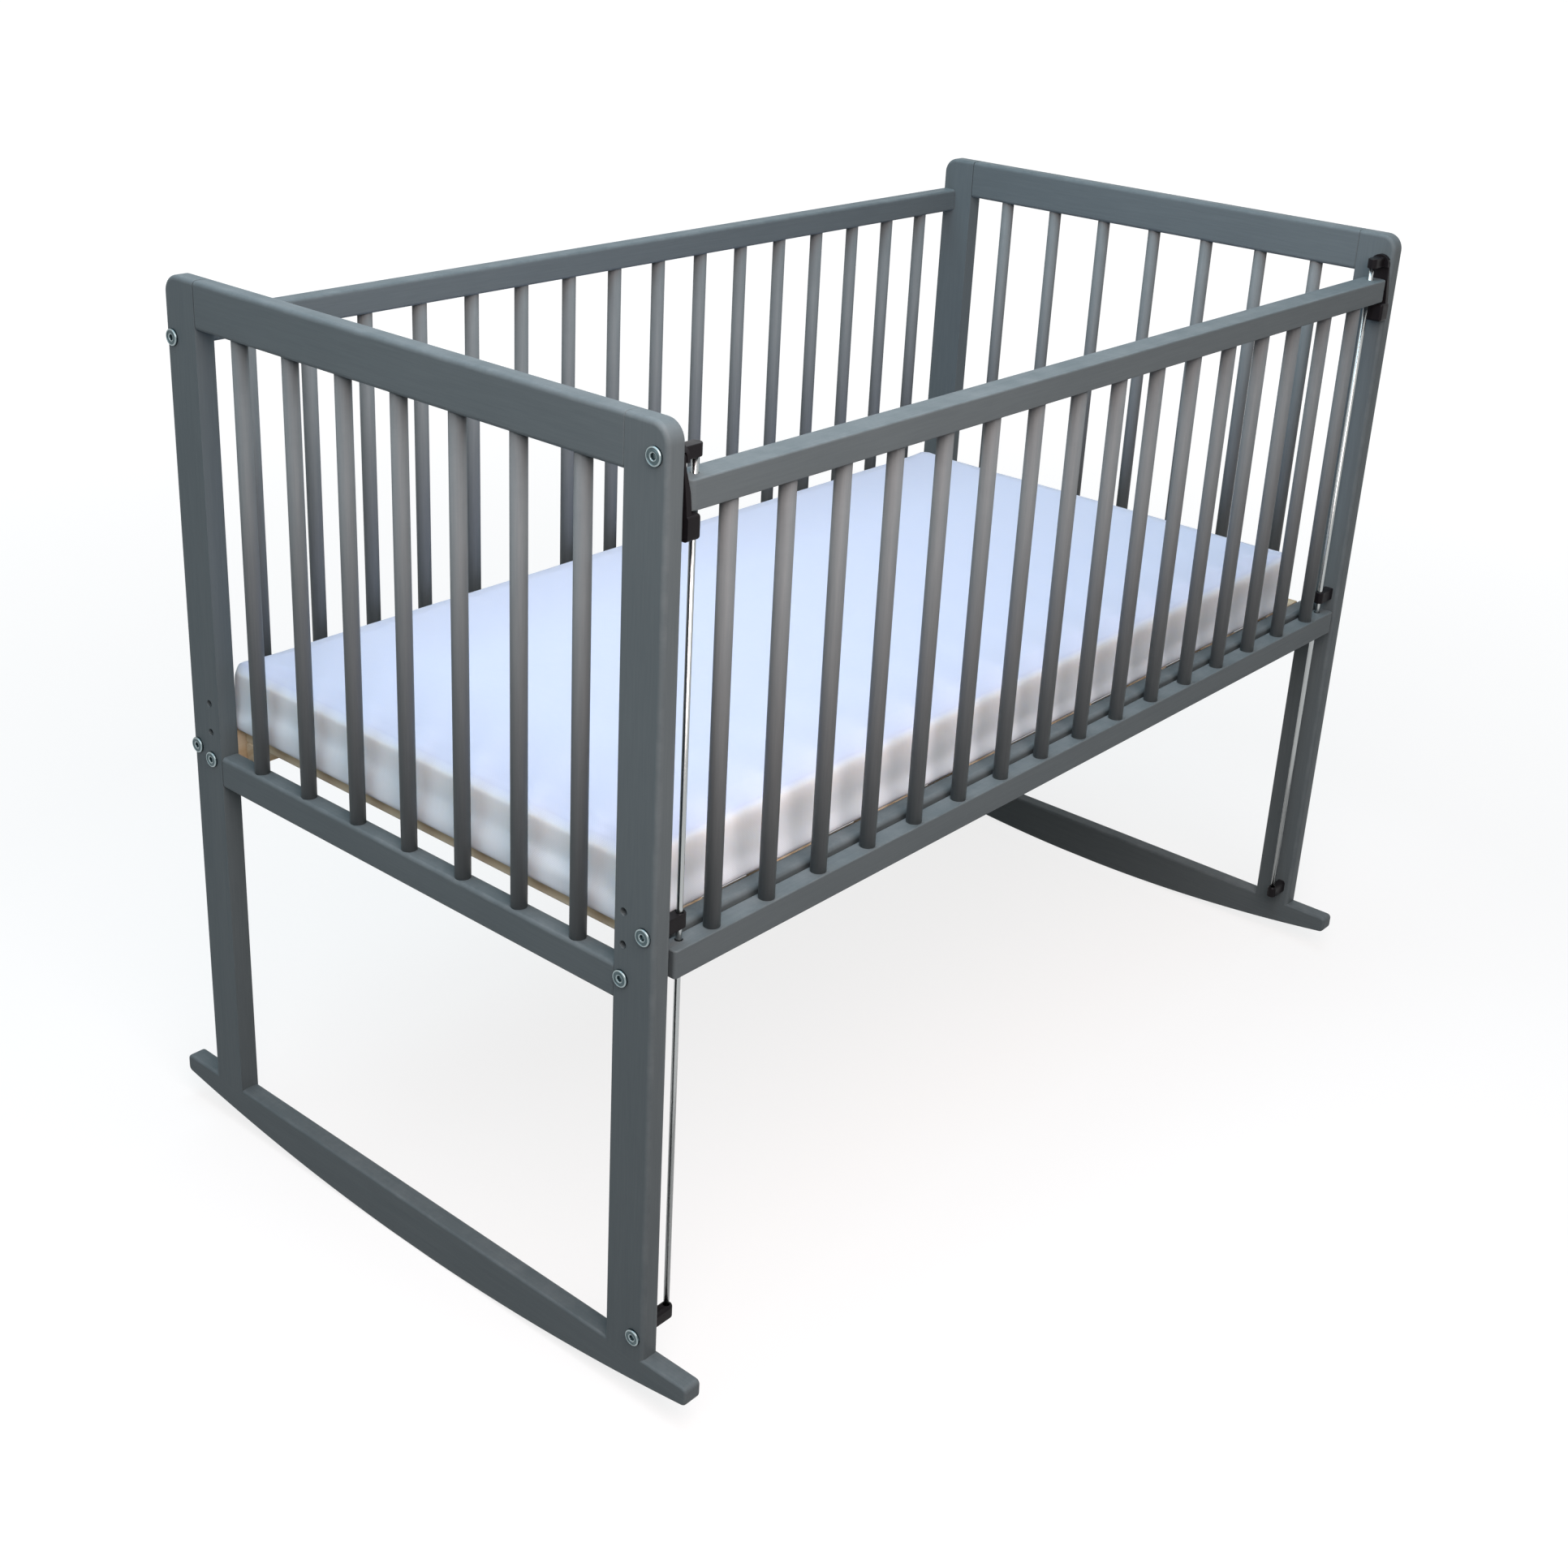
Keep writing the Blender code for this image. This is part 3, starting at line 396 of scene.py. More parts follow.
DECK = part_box("rocker_left")[1].z
for label in ("left", "right"):
    for end in ("front", "rear"):
        node = f"{end}_post_{label}"
        low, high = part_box(node)
        facing = -1 if end == "front" else 1
        outer = low.y if facing < 0 else high.y
        shape = box_shape((low.x, low.y, DECK - JOINT_SINK), high)
        corner = [e for e in shape.edges if runs(e, X_AXIS)
                  and same(midst(e).y, outer) and same(midst(e).z, high.z)]
        round_over(shape, corner, CORNER_ROUND, CORNER_STEPS, mark_edge=False)
        middle = (low.y + high.y) / 2
        outside = [e for e in shape.edges if not runs(e, X_AXIS) and midst(e).z > DECK
                   and (midst(e).y - middle) * facing > INNER_EDGE]
        round_over(shape, outside, EDGE_ROUND)
        inside = [e for e in shape.edges if runs(e, Z_AXIS) and (midst(e).y - middle) * facing < INNER_EDGE]
        round_over(shape, inside, INNER_ARRIS, steps=2)
        post = rough_piece(node + "_wood", shape, lacquer)
        hole_y, heights = SPARE_HOLES[end]
        holes = bmesh.new()
        for height in heights:
            rod_shape((low.x - DRILL_THROUGH, hole_y, height), (high.x + DRILL_THROUGH, hole_y, height),
                      SPARE_HOLE_RADIUS, HOLE_SIDES, into=holes)
        work(post, holes)
        place_in(finish_piece(post), "frame", "grey_lacquer", node)


# The cross rails of the ends: flat beech rails doweled between the posts, rounded over like
# them, with the seven round spindles of each end let into both. Lacquered grey.
def rail_piece(name, low, high, axis, radius, material, steps=ROUND_STEPS):
    """A rail whose long edges are rounded over and whose ends keep a fine arris."""
    shape = box_shape(low, high)
    round_over(shape, [e for e in shape.edges if runs(e, axis)], radius, steps)
    tips = [e for e in shape.edges if same(midst(e)[axis], low[axis]) or same(midst(e)[axis], high[axis])]
    round_over(shape, tips, INNER_ARRIS, steps=1, mark_edge=False)
    return new_piece(name, shape, material, axis)


def set_input(modifier, name, value):
    """Set one named input of a Geometry Nodes modifier by its socket's identifier."""
    for item in modifier.node_group.interface.items_tree:
        if item.item_type == "SOCKET" and item.in_out == "INPUT" and item.name == name:
            modifier[item.identifier] = value


def store(nodes, geometry, name, value, domain="POINT"):
    """Write a vector under a name onto each point or each instance."""
    settings = {"data_type": "FLOAT_VECTOR", "domain": domain}
    return nodes.add("GeometryNodeStoreNamedAttribute", settings, Geometry=geometry, Name=name,
                     Value=value).outputs[0]


def read(nodes, name):
    settings = {"data_type": "FLOAT_VECTOR"}
    return nodes.add("GeometryNodeInputNamedAttribute", settings, Name=name).outputs[0]


# Spindles in a row: a round stick, repeated from a first place by a step.
WHOLE, GEOMETRY, MATERIAL = "NodeSocketInt", "NodeSocketGeometry", "NodeSocketMaterial"
spindle_row, r, given, row_out = new_group(
    "spindle_row",
    [("Count", WHOLE, 7), ("First", VECTOR, None), ("Step", VECTOR, None), ("Radius", FLOAT, 0.006),
     ("Length", FLOAT, 0.3), ("Sides", WHOLE, 32), ("Seed", WHOLE, 1), ("Material", MATERIAL, None)],
    [("Geometry", GEOMETRY)], "GeometryNodeTree")
stick = r.add("GeometryNodeMeshCylinder", Vertices=given["Sides"], Radius=given["Radius"],
              Depth=given["Length"])
smooth = r.add("GeometryNodeSetShadeSmooth", {"domain": "FACE"}, Geometry=stick.outputs["Mesh"],
               Selection=stick.outputs["Side"])
half = r.add("ShaderNodeCombineXYZ", Z=r.maths("MULTIPLY", given["Length"], 0.5))
lifted = r.add("GeometryNodeTransform", Geometry=smooth.outputs[0], Translation=half.outputs[0])
marked = store(r, lifted.outputs[0], "grain", r.add("GeometryNodeInputPosition").outputs[0])
line = r.add("GeometryNodeMeshLine", {"mode": "OFFSET"}, Count=given["Count"],
             Start_Location=given["First"], Offset=given["Step"])
placed = r.add("GeometryNodeInstanceOnPoints", Points=line.outputs[0], Instance=marked)
chance = r.add("FunctionNodeRandomValue", {"data_type": "FLOAT_VECTOR"}, Seed=given["Seed"])
r.feed(chance, 0, (-1.0, -1.0, -9.0))
r.feed(chance, 1, (1.0, 1.0, 9.0))
shifted = store(r, placed.outputs[0], "shift", chance.outputs[0], "INSTANCE")
real = r.add("GeometryNodeRealizeInstances", Geometry=shifted)
joined = store(r, real.outputs[0], "grain", r.vectors("ADD", read(r, "grain"), read(r, "shift")))
finished = r.add("GeometryNodeSetMaterial", Geometry=joined, Material=given["Material"])
r.feed(row_out, "Geometry", finished.outputs[0])


def grown_piece(name, tree, points=(), **values):
    """The plain mesh that a Geometry Nodes tree grows from its points and named inputs."""
    mesh = bpy.data.meshes.new(name)
    mesh.from_pydata(points, [], [])
    piece = bpy.data.objects.new(name, mesh)
    scene.collection.objects.link(piece)
    grow = piece.modifiers.new("grow", "NODES")
    grow.node_group = tree
    for key, value in values.items():
        set_input(grow, key, value)
    return plain_mesh(piece)


SPINDLE_RADIUS = 0.006
SPINDLE_SINK = 0.004         # how far a stick goes into the rail under it
END_SPINDLES = 7
END_PITCH = 0.0583
END_RAIL_TOP = 0.309         # over the rockers
END_RAIL_ROUND = 0.003
for seed, label in enumerate(("left", "right")):
    node = "end_top_rail_" + label
    low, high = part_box(node)
    top = rail_piece(node + "_wood", low, high, Y_AXIS, EDGE_ROUND, lacquer)
    place_in(top, "frame", "grey_lacquer", node)

    rack = "end_spindle_rack_" + label
    low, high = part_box(rack)
    rail_top = DECK + END_RAIL_TOP
    lower = rail_piece("end_lower_rail_" + label, low, (high.x, high.y, rail_top), Y_AXIS,
                       END_RAIL_ROUND, lacquer)
    place_in(lower, "frame", "grey_lacquer", rack)

    first = ((low.x + high.x) / 2, -END_PITCH * (END_SPINDLES - 1) / 2, rail_top - SPINDLE_SINK)
    bars = grown_piece("end_spindles_" + label, spindle_row, Count=END_SPINDLES, First=first,
                       Step=(0, END_PITCH, 0), Radius=SPINDLE_RADIUS, Length=high.z - rail_top,
                       Seed=seed, Material=lit_stick_lacquer)
    place_in(bars, "frame", "grey_lacquer", rack)


# The rockers: a flat beech board under each end, with a straight top flush with the posts,
# a long curved underside that rolls on a short flat, and blunt rounded noses. Lacquered grey.
ROCKER_END_HEIGHT = 0.0153
ROCKER_HALF_FLAT = 0.022
ROCKER_FACETS = 28
ROCKER_ROUND = 0.0022
ROCKER_NOSE_ROUND = 0.004
FLUSH = 0.00004              # the rocker's faces lie this much behind the posts' faces


def extrude_outline(outline, axis, low, high):
    """A closed outline in the two other axes, carried from low to high."""
    shape = bmesh.new()
    corners = [shape.verts.new((*point[:axis], low, *point[axis:])) for point in outline]
    moved = bmesh.ops.extrude_face_region(shape, geom=[shape.faces.new(corners)])["geom"]
    away = Vector((0, 0, 0))
    away[axis] = high - low
    bmesh.ops.translate(shape, verts=[v for v in moved if isinstance(v, bmesh.types.BMVert)], vec=away)
    return shape


def arc(centre, radius, start, end, steps):
    """Points on an arc between two angles in degrees."""
    angles = [math.radians(start + (end - start) * step / steps) for step in range(steps + 1)]
    return [(centre[0] + radius * math.cos(a), centre[1] + radius * math.sin(a)) for a in angles]


for label in ("left", "right"):
    node = "rocker_" + label
    low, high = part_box(node)
    half = high.y
    rise = high.z - ROCKER_END_HEIGHT
    centre = (half ** 2 + rise ** 2 - ROCKER_HALF_FLAT ** 2) / (2 * rise)
    radius = math.hypot(ROCKER_HALF_FLAT, centre)
    first = math.degrees(math.asin(ROCKER_HALF_FLAT / radius))
    last = math.degrees(math.asin(half / radius))
    outline = (arc((0, centre), radius, -90 - last, -90 - first, ROCKER_FACETS)
               + arc((0, centre), radius, -90 + first, -90 + last, ROCKER_FACETS)
               + [(half, high.z), (-half, high.z)])
    shape = extrude_outline(outline, X_AXIS, low.x + FLUSH, high.x - FLUSH)
    noses = [e for e in shape.edges if runs(e, X_AXIS) and same(abs(midst(e).y), half)]
    round_over(shape, noses, ROCKER_NOSE_ROUND)
    round_over(shape, [e for e in shape.edges if not runs(e, X_AXIS)], ROCKER_ROUND, steps=4)
    place_in(new_piece(node + "_wood", shape, lacquer, Y_AXIS), "frame", "grey_lacquer", node)


# The fixed rear side: two slim rails bolted between the rear posts, and sixteen spindles let
# into both. All lacquered grey.
SIDE_SPINDLES = 16
REAR_RAIL_ROUND = {"rear_top_rail": 0.0028, "rear_lower_rail": 0.0025}


def side_spindles(name, stem, body, seed):
    """The row of spindles of one long side, in place of their sixteen nodes."""
    nodes = [f"{stem}_{number:02d}" for number in range(1, SIDE_SPINDLES + 1)]
    low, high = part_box(nodes[0])
    first = ((low.x + high.x) / 2, (low.y + high.y) / 2, low.z)
    step = ((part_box(nodes[-1])[0].x - low.x) / (SIDE_SPINDLES - 1), 0, 0)
    bars = grown_piece(name, spindle_row, Count=SIDE_SPINDLES, First=first, Step=step,
                       Radius=SPINDLE_RADIUS, Length=high.z - low.z, Seed=seed, Material=lit_stick_lacquer)
    place_in(bars, body, "grey_lacquer", *nodes)


for node, radius in REAR_RAIL_ROUND.items():
    rail = rail_piece(node + "_wood", *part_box(node), X_AXIS, radius, lacquer)
    place_in(rail, "frame", "grey_lacquer", node)
side_spindles("rear_spindles", "rear_spindle", "frame", seed=3)


# The base: a lacquered bar in front and a bare one behind, screwed between the ends, with
# pine slats laid across on a ledger along each bar. The pine is planed and left bare.
PINE = (0.780, 0.640, 0.430, 1)
PINE_DARK = (0.580, 0.420, 0.230, 1)
PINE_PALE = (0.840, 0.730, 0.540, 1)
SLATS = 8
SLAT_WIDTH = 0.060
SLAT_THICKNESS = 0.013
SLAT_ROUND = 0.002
LEDGER = 0.016
LEDGER_ROUND = 0.001

pine, n, shader = new_material("natural_wood", IOR=1.45)
place = n.attribute("grain")["Vector"]
solid = n.add("ShaderNodeTexCoord").outputs["Object"]
grain = n.group(grain_tree, Place=place, Fineness=700.0, Stretch=0.03)
rings = n.add("ShaderNodeTexWave", {"wave_type": "RINGS", "rings_direction": "Z"},
              Vector=n.vectors("MULTIPLY", place, (1.0, 1.0, 0.05)),
              Scale=26.0, Distortion=3.0, Detail=2.0, Detail_Scale=0.6)
growth = n.span(rings.outputs["Fac"], 0.2, 0.9)
tone = n.mix(growth, PINE_PALE, PINE)
tone = n.mix(n.maths("MULTIPLY", n.maths("POWER", growth, 4.0), 0.35), tone, PINE_DARK)
tone = n.mix(n.span(grain["Streaks"], 0.0, 1.0, 0.20, 0.0), tone, PINE_DARK)
lit_worn_edges = n.group(highlight_and_wear_tree, Place=solid, Edge=n.attribute("edge")["Fac"], Amount=0.35)
tone = n.mix(lit_worn_edges["Mask"], tone, PINE_PALE)
n.feed(shader, "Base Color", tone)
n.feed(shader, "Roughness", n.span(grain["Bands"], 0.0, 1.0, 0.58, 0.72))
n.bump(shader, n.maths("ADD", n.maths("MULTIPLY", grain["Streaks"], 0.8), growth), 0.3, 0.0003)

for end, material, slot in (("front", lacquer, "grey_lacquer"), ("rear", pine, "natural_wood")):
    node = f"base_{end}_bar"
    bar = rail_piece(node + "_wood", *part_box(node), X_AXIS, EDGE_ROUND, material)
    place_in(bar, "frame", slot, node)

low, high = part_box("base_slats")
slat_under = high.z - SLAT_THICKNESS
for name, y in (("front_ledger", low.y), ("rear_ledger", high.y - LEDGER)):
    ledger = rail_piece(name, (low.x, y, low.z), (high.x, y + LEDGER, slat_under), X_AXIS,
                        LEDGER_ROUND, pine, steps=2)
    place_in(ledger, "frame", "natural_wood", "base_slats")
pitch = (high.x - low.x - SLAT_WIDTH) / (SLATS - 1)
for number in range(SLATS):
    x = low.x + number * pitch
    slat = rail_piece(f"slat_{number + 1}", (x, low.y, slat_under), (x + SLAT_WIDTH, high.y, high.z),
                      Y_AXIS, SLAT_ROUND, pine, steps=3)
    place_in(slat, "frame", "natural_wood", "base_slats")


# The drop side: a deeper top rail and a square lower rail with sixteen spindles between
# them, drilled at both ends so that it slides on the two rods. Lacquered grey.
ROD_RADIUS = 0.0022
ROD_HOLE_RADIUS = 0.0030
DROP_RAIL_CORNERS = {"drop_top_rail": 0.0055, "drop_lower_rail": 0.003}
DROP_RIM_ROUND = 0.0012
rod_low, rod_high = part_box("guide_rod_right")
ROD_X = (rod_low.x + rod_high.x) / 2
ROD_Y = (rod_low.y + rod_high.y) / 2
for node, corner in DROP_RAIL_CORNERS.items():
    low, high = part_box(node)
    shape = box_shape(low, high)
    round_over(shape, [e for e in shape.edges if runs(e, Z_AXIS)], corner, steps=6, mark_edge=False)
    rims = [e for e in shape.edges if same(midst(e).z, low.z) or same(midst(e).z, high.z)]
    round_over(shape, rims, DROP_RIM_ROUND, steps=3)
    rail = rough_piece(node + "_wood", shape, lacquer)
    holes = bmesh.new()
    for x in (-ROD_X, ROD_X):
        rod_shape((x, ROD_Y, low.z - DRILL_THROUGH), (x, ROD_Y, high.z + DRILL_THROUGH),
                  ROD_HOLE_RADIUS, into=holes)
    work(rail, holes)
    place_in(finish_piece(rail, X_AXIS), "drop_side", "grey_lacquer", node)
side_spindles("drop_spindles", "drop_spindle", "drop_side", seed=11)


# The guide rods: bright drawn steel, 4.4 mm thick, held at both ends in plastic blocks.
STEEL = (0.40, 0.42, 0.42, 1)
STEEL_DARK = (0.25, 0.27, 0.28, 1)
steel, n, shader = new_material("steel", Metallic=1.0)
place = n.attribute("grain")["Vector"]
drawn = n.group(grain_tree, Place=place, Fineness=2600.0, Stretch=0.006)["Streaks"]
n.feed(shader, "Base Color", n.mix(n.span(drawn, 0.0, 1.0, 0.08, 0.0), STEEL, STEEL_DARK))
smudge = n.span(n.noise(place, 70.0, 4.0), 0.35, 0.7, 0.21, 0.26)
n.feed(shader, "Roughness", n.maths("ADD", smudge, n.maths("MULTIPLY", drawn, 0.02)))
n.bump(shader, drawn, 0.02, 0.00002)

for seed, label in enumerate(("left", "right")):
    node = "guide_rod_" + label
    low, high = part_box(node)
    rod = grown_piece(node + "_steel", spindle_row, Count=1, Step=(0, 0, 0), Radius=ROD_RADIUS,
                      First=((low.x + high.x) / 2, (low.y + high.y) / 2, low.z),
                      Length=high.z - low.z, Sides=40, Seed=seed, Material=steel)
    place_in(rod, "frame", "steel", node)


# The rod holders: glossy black plastic mouldings screwed to the inner faces of the front
# posts. The head and the foot hold the ends of a rod, and the guide steadies it between them.
PLASTIC = (0.007, 0.006, 0.007, 1)
PLASTIC_PALE = (0.014, 0.014, 0.016, 1)
PLASTIC_DUST = (0.10, 0.115, 0.12, 1)
SEAT_GAP = 0.0003
HOLDER_WALL = 0.0022
HOLDER_ARRIS = 0.0008
FOOT_TOP_ROUND = 0.003
HEAD_BLOCK_HEIGHT = 0.0088
HEAD_ARCH_LIFT = 0.0023
ROD_SEAT_DEPTH = 0.007
BORE_CHAMFER = 0.0009
BORE_SIDES = 40
BORES_MEET = 0.001           # how far a bore from either end of the guide passes its middle
CUT_PAST = 0.004             # how far a cutting shape reaches out of what it cuts
NOSE_STEPS = 28
PIN_SIDES = 24
MOULD_ROUND = 0.0003
HEAD_ROUND = 0.00025
MOULD_DEGREES = 35
LATCH_PIVOT = (-0.2470, 0.6988)
LATCH_EYE_RADIUS = 0.0036
LATCH_PIN_RADIUS = 0.0018
LATCH_NECK = 0.0022
POST_INNER_X = -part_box("front_post_left")[1].x
RAIL_END_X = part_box("drop_top_rail")[1].x

plastic, n, shader = new_material("black_plastic", IOR=1.5, Specular_IOR_Level=0.08)
solid = n.add("ShaderNodeTexCoord").outputs["Object"]
cast = n.noise(solid, 1500.0, 3.0, Roughness=0.7)
tone = n.mix(n.span(cast, 0.3, 0.7, 0.0, 0.5), PLASTIC, PLASTIC_PALE)
veil = n.group(dust_tree, Place=solid, Amount=0.22)
n.feed(shader, "Base Color", n.mix(veil["Mask"], tone, PLASTIC_DUST))
flow = n.noise(solid, 120.0, 3.0, Distortion=1.2)
n.feed(shader, "Roughness", n.span(flow, 0.3, 0.7, 0.27, 0.42))
n.bump(shader, cast, 0.2, 0.00008)


def soften(piece, width):
    """Ease every sharp edge of a moulding, as a mould's polish does."""
    ease = piece.modifiers.new("ease", "BEVEL")
    ease.limit_method = "ANGLE"
    ease.angle_limit = math.radians(MOULD_DEGREES)
    ease.width = width
    ease.segments = 2
    ease.use_clamp_overlap = True
    plain_mesh(piece)


def cut_bore(piece, side, mouth, floor):
    """Cut the seat first and its chamfer after it, each as one closed shape."""
    x = side * ROD_X
    into = 1 if floor > mouth else -1
    radius = ROD_RADIUS + SEAT_GAP
    work(piece, rod_shape((x, ROD_Y, mouth - into * CUT_PAST), (x, ROD_Y, floor), radius, BORE_SIDES))
    cone = bmesh.new()
    wide, narrow = radius + 2 * BORE_CHAMFER, radius - BORE_CHAMFER
    ends = (wide, narrow) if into > 0 else (narrow, wide)
    bmesh.ops.create_cone(cone, cap_ends=True, segments=BORE_SIDES, radius1=ends[0], radius2=ends[1],
                          depth=3 * BORE_CHAMFER,
                          matrix=Matrix.Translation((x, ROD_Y, mouth + into * BORE_CHAMFER * 0.5)))
    work(piece, cone)


def holder_shape(side, back, under, top, top_round=HOLDER_ARRIS):
    """A block that runs in from the post and ends in a round nose about the rod."""
    half = ROD_RADIUS + HOLDER_WALL
    nose = arc((side * ROD_X, ROD_Y), half, -90, -90 - side * 180, NOSE_STEPS)
    shape = extrude_outline(nose + [(back, ROD_Y + half), (back, ROD_Y - half)], Z_AXIS, under, top)
    for level, radius, steps in ((under, HOLDER_ARRIS, 3), (top, top_round, 6)):
        rim = [e for e in shape.edges if same(midst(e).z, level) and not same(midst(e).x, back)]
        round_over(shape, rim, radius, steps)
    return shape


SIDES = (("left", -1), ("right", 1))
for label, side in SIDES:
    back = side * (POST_INNER_X - SEAT_GAP)
    low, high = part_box("rod_guide_" + label)
    guide = rough_piece(f"rod_guide_{label}_plastic", holder_shape(side, back, low.z, high.z), plastic)
    middle = (low.z + high.z) / 2
    cut_bore(guide, side, low.z, middle + BORES_MEET)
    cut_bore(guide, side, high.z, middle - BORES_MEET)
    place_in(finish_piece(guide), "frame", "black_plastic", "rod_guide_" + label)

    low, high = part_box("rod_foot_" + label)
    foot = rough_piece(f"rod_foot_{label}_plastic",
                       holder_shape(side, back, low.z, high.z, FOOT_TOP_ROUND), plastic)
    cut_bore(foot, side, high.z, high.z - ROD_SEAT_DEPTH)
    place_in(finish_piece(foot), "frame", "black_plastic", "rod_foot_" + label)

    low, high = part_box("rod_head_" + label)
    back = side * (RAIL_END_X + SEAT_GAP)
    shape = holder_shape(side, back, low.z, low.z + HEAD_BLOCK_HEIGHT)
    head = rough_piece(f"rod_head_{label}_plastic", shape, plastic)
    under = low.z + SEAT_GAP
    outline = (arc((ROD_Y, low.z + HEAD_ARCH_LIFT), (high.y - low.y) / 2, 180, 0, NOSE_STEPS)
               + [(high.y, under), (low.y, under)])
    near, far = sorted((side * (POST_INNER_X - SEAT_GAP), side * (RAIL_END_X - SEAT_GAP)))
    work(head, extrude_outline(outline, X_AXIS, near, far), "UNION")
    floor = side * (POST_INNER_X - SEAT_GAP - LATCH_NECK - SEAT_GAP)
    reach = LATCH_EYE_RADIUS + SEAT_GAP
    near, far = sorted((side * (POST_INNER_X + CUT_PAST), floor))
    work(head, box_shape((near, low.y - CUT_PAST, low.z - CUT_PAST),
                         (far, LATCH_PIVOT[0] + reach, LATCH_PIVOT[1] + reach)))
    pin = rod_shape((floor - side * SEAT_GAP, *LATCH_PIVOT),
                    (side * (POST_INNER_X - SEAT_GAP), *LATCH_PIVOT), LATCH_PIN_RADIUS, PIN_SIDES)
    work(head, pin, "UNION")
    cut_bore(head, side, low.z, low.z + ROD_SEAT_DEPTH)
    soften(head, HEAD_ROUND)
    place_in(finish_piece(head), "frame", "black_plastic", "rod_head_" + label)


# The latches: a springy black arm hangs on a pin in each head, and its catch block carries
# the top rail. Swung forward, the block clears the rail and the side can go down.
LATCH_ARM_WIDTH = 0.017
LATCH_ARM_LEAN = 0.004
LATCH_SHOULDER_ROUND = 0.004
LATCH_STEPS = 14
LATCH_TAPER_TOP = 0.004
LATCH_TAPER = 0.014
CATCH_REACH = 0.0125
CATCH_HEIGHT = 0.0172
CATCH_PROUD = 0.0008
CATCH_FALL = 0.0008
CATCH_ROUND = 0.0024
head_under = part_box("rod_head_left")[0].z
rail_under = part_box("drop_top_rail")[0].z
pivot_y, pivot_z = LATCH_PIVOT
for label, side in SIDES:
    outer = side * (POST_INNER_X - SEAT_GAP)
    inner = side * (RAIL_END_X + SEAT_GAP)
    catch_top = rail_under - SEAT_GAP
    catch_under = catch_top - CATCH_HEIGHT
    top = head_under - SEAT_GAP - SEAT_GAP
    foot = catch_under + CATCH_ROUND
    front = pivot_y - LATCH_EYE_RADIUS
    eye = arc((pivot_y, pivot_z), LATCH_EYE_RADIUS, 180, 0, steps=20)
    bend = arc((front + LATCH_ARM_WIDTH - LATCH_SHOULDER_ROUND, top - LATCH_SHOULDER_ROUND),
               LATCH_SHOULDER_ROUND, 90, 0, steps=6)
    blade = []
    for step in range(1, LATCH_STEPS + 1):
        share = step / LATCH_STEPS
        blade.append((front - LATCH_ARM_LEAN * math.sin(share * math.pi / 2), top - share * (top - foot)))
    rear = [(y + LATCH_ARM_WIDTH, z) for y, z in blade if z < top - LATCH_SHOULDER_ROUND]
    outline = eye + [(eye[-1][0], top)] + bend + rear + blade[::-1] + [(front, top)]
    near, far = sorted((outer, inner))
    arm = rough_piece(f"latch_{label}_plastic", extrude_outline(outline, X_AXIS, near, far), plastic)

    thin = side * (POST_INNER_X - SEAT_GAP - LATCH_NECK)
    beyond = side * (RAIL_END_X - CUT_PAST)
    taper_top = head_under - LATCH_TAPER_TOP
    taper_foot = taper_top - LATCH_TAPER
    above = pivot_z + LATCH_EYE_RADIUS + CUT_PAST
    wedge = [(beyond, above), (thin, above), (thin, taper_top), (inner, taper_foot), (beyond, taper_foot)]
    work(arm, extrude_outline(wedge, Y_AXIS, pivot_y - LATCH_ARM_WIDTH, pivot_y + LATCH_ARM_WIDTH))

    catch_front = front - LATCH_ARM_LEAN - CATCH_PROUD
    catch_rear = catch_front + CATCH_PROUD + LATCH_ARM_WIDTH
    near, far = sorted((outer, side * (POST_INNER_X - CATCH_REACH)))
    catch = box_shape((near, catch_front, catch_under), (far, catch_rear, catch_top))
    for corner in catch.verts:
        if corner.co.z > foot and corner.co.y < catch_rear - CATCH_ROUND:
            corner.co.z -= CATCH_FALL
    free = [e for e in catch.edges if abs(midst(e).x - outer) > CATCH_ROUND]
    round_over(catch, free, CATCH_ROUND)
    work(arm, catch, "UNION")
    work(arm, rod_shape((side * (POST_INNER_X + CUT_PAST), pivot_y, pivot_z), (beyond, pivot_y, pivot_z),
                        LATCH_PIN_RADIUS + SEAT_GAP, PIN_SIDES))
    soften(arm, MOULD_ROUND)
    place_in(finish_piece(arm), f"latch_{label}_arm", "black_plastic", "latch_" + label)


# The screws: zinc plated heads with a rounded rim, a face a little lower and a hexagon
# socket, seven on the outer face of each end. They hold the rod fittings, rails and base.
ZINC = (0.085, 0.120, 0.130, 1)
ZINC_DARK = (0.060, 0.090, 0.098, 1)
ZINC_GLINT = (0.300, 0.360, 0.370, 1)       # painted highlight: the rims are painted brighter, for the glints that they catch
SCREW_PLACES = ((-0.2424, 0.7025), (-0.2435, 0.3802), (-0.2436, 0.0564), (-0.2239, 0.3413),
                (0.2450, 0.6780), (0.2468, 0.3507), (0.2290, 0.3440))
SCREW_PROFILE = ((6.30, -0.30), (6.50, 0.20), (6.50, 0.90), (6.40, 1.40), (6.15, 1.80), (5.80, 2.02),
                 (5.45, 2.04), (5.15, 1.90), (4.95, 1.62), (4.70, 1.50), (4.40, 1.62), (3.80, 1.80),
                 (3.10, 1.90), (2.75, 1.90), (2.55, 1.82))
SOCKET_HALF_WIDTH = 2.0
SOCKET_HEIGHTS = (1.50, 0.30)
GLINT_RADII = ((0.0, 2.9), (5.3, 6.3))    # the rims of the socket and of the head
SCREW_SIDES = 36
SCREW_SHARP_DEGREES = 50
SCREW_SEED = 5
MILLIMETRES = 1000           # in a metre

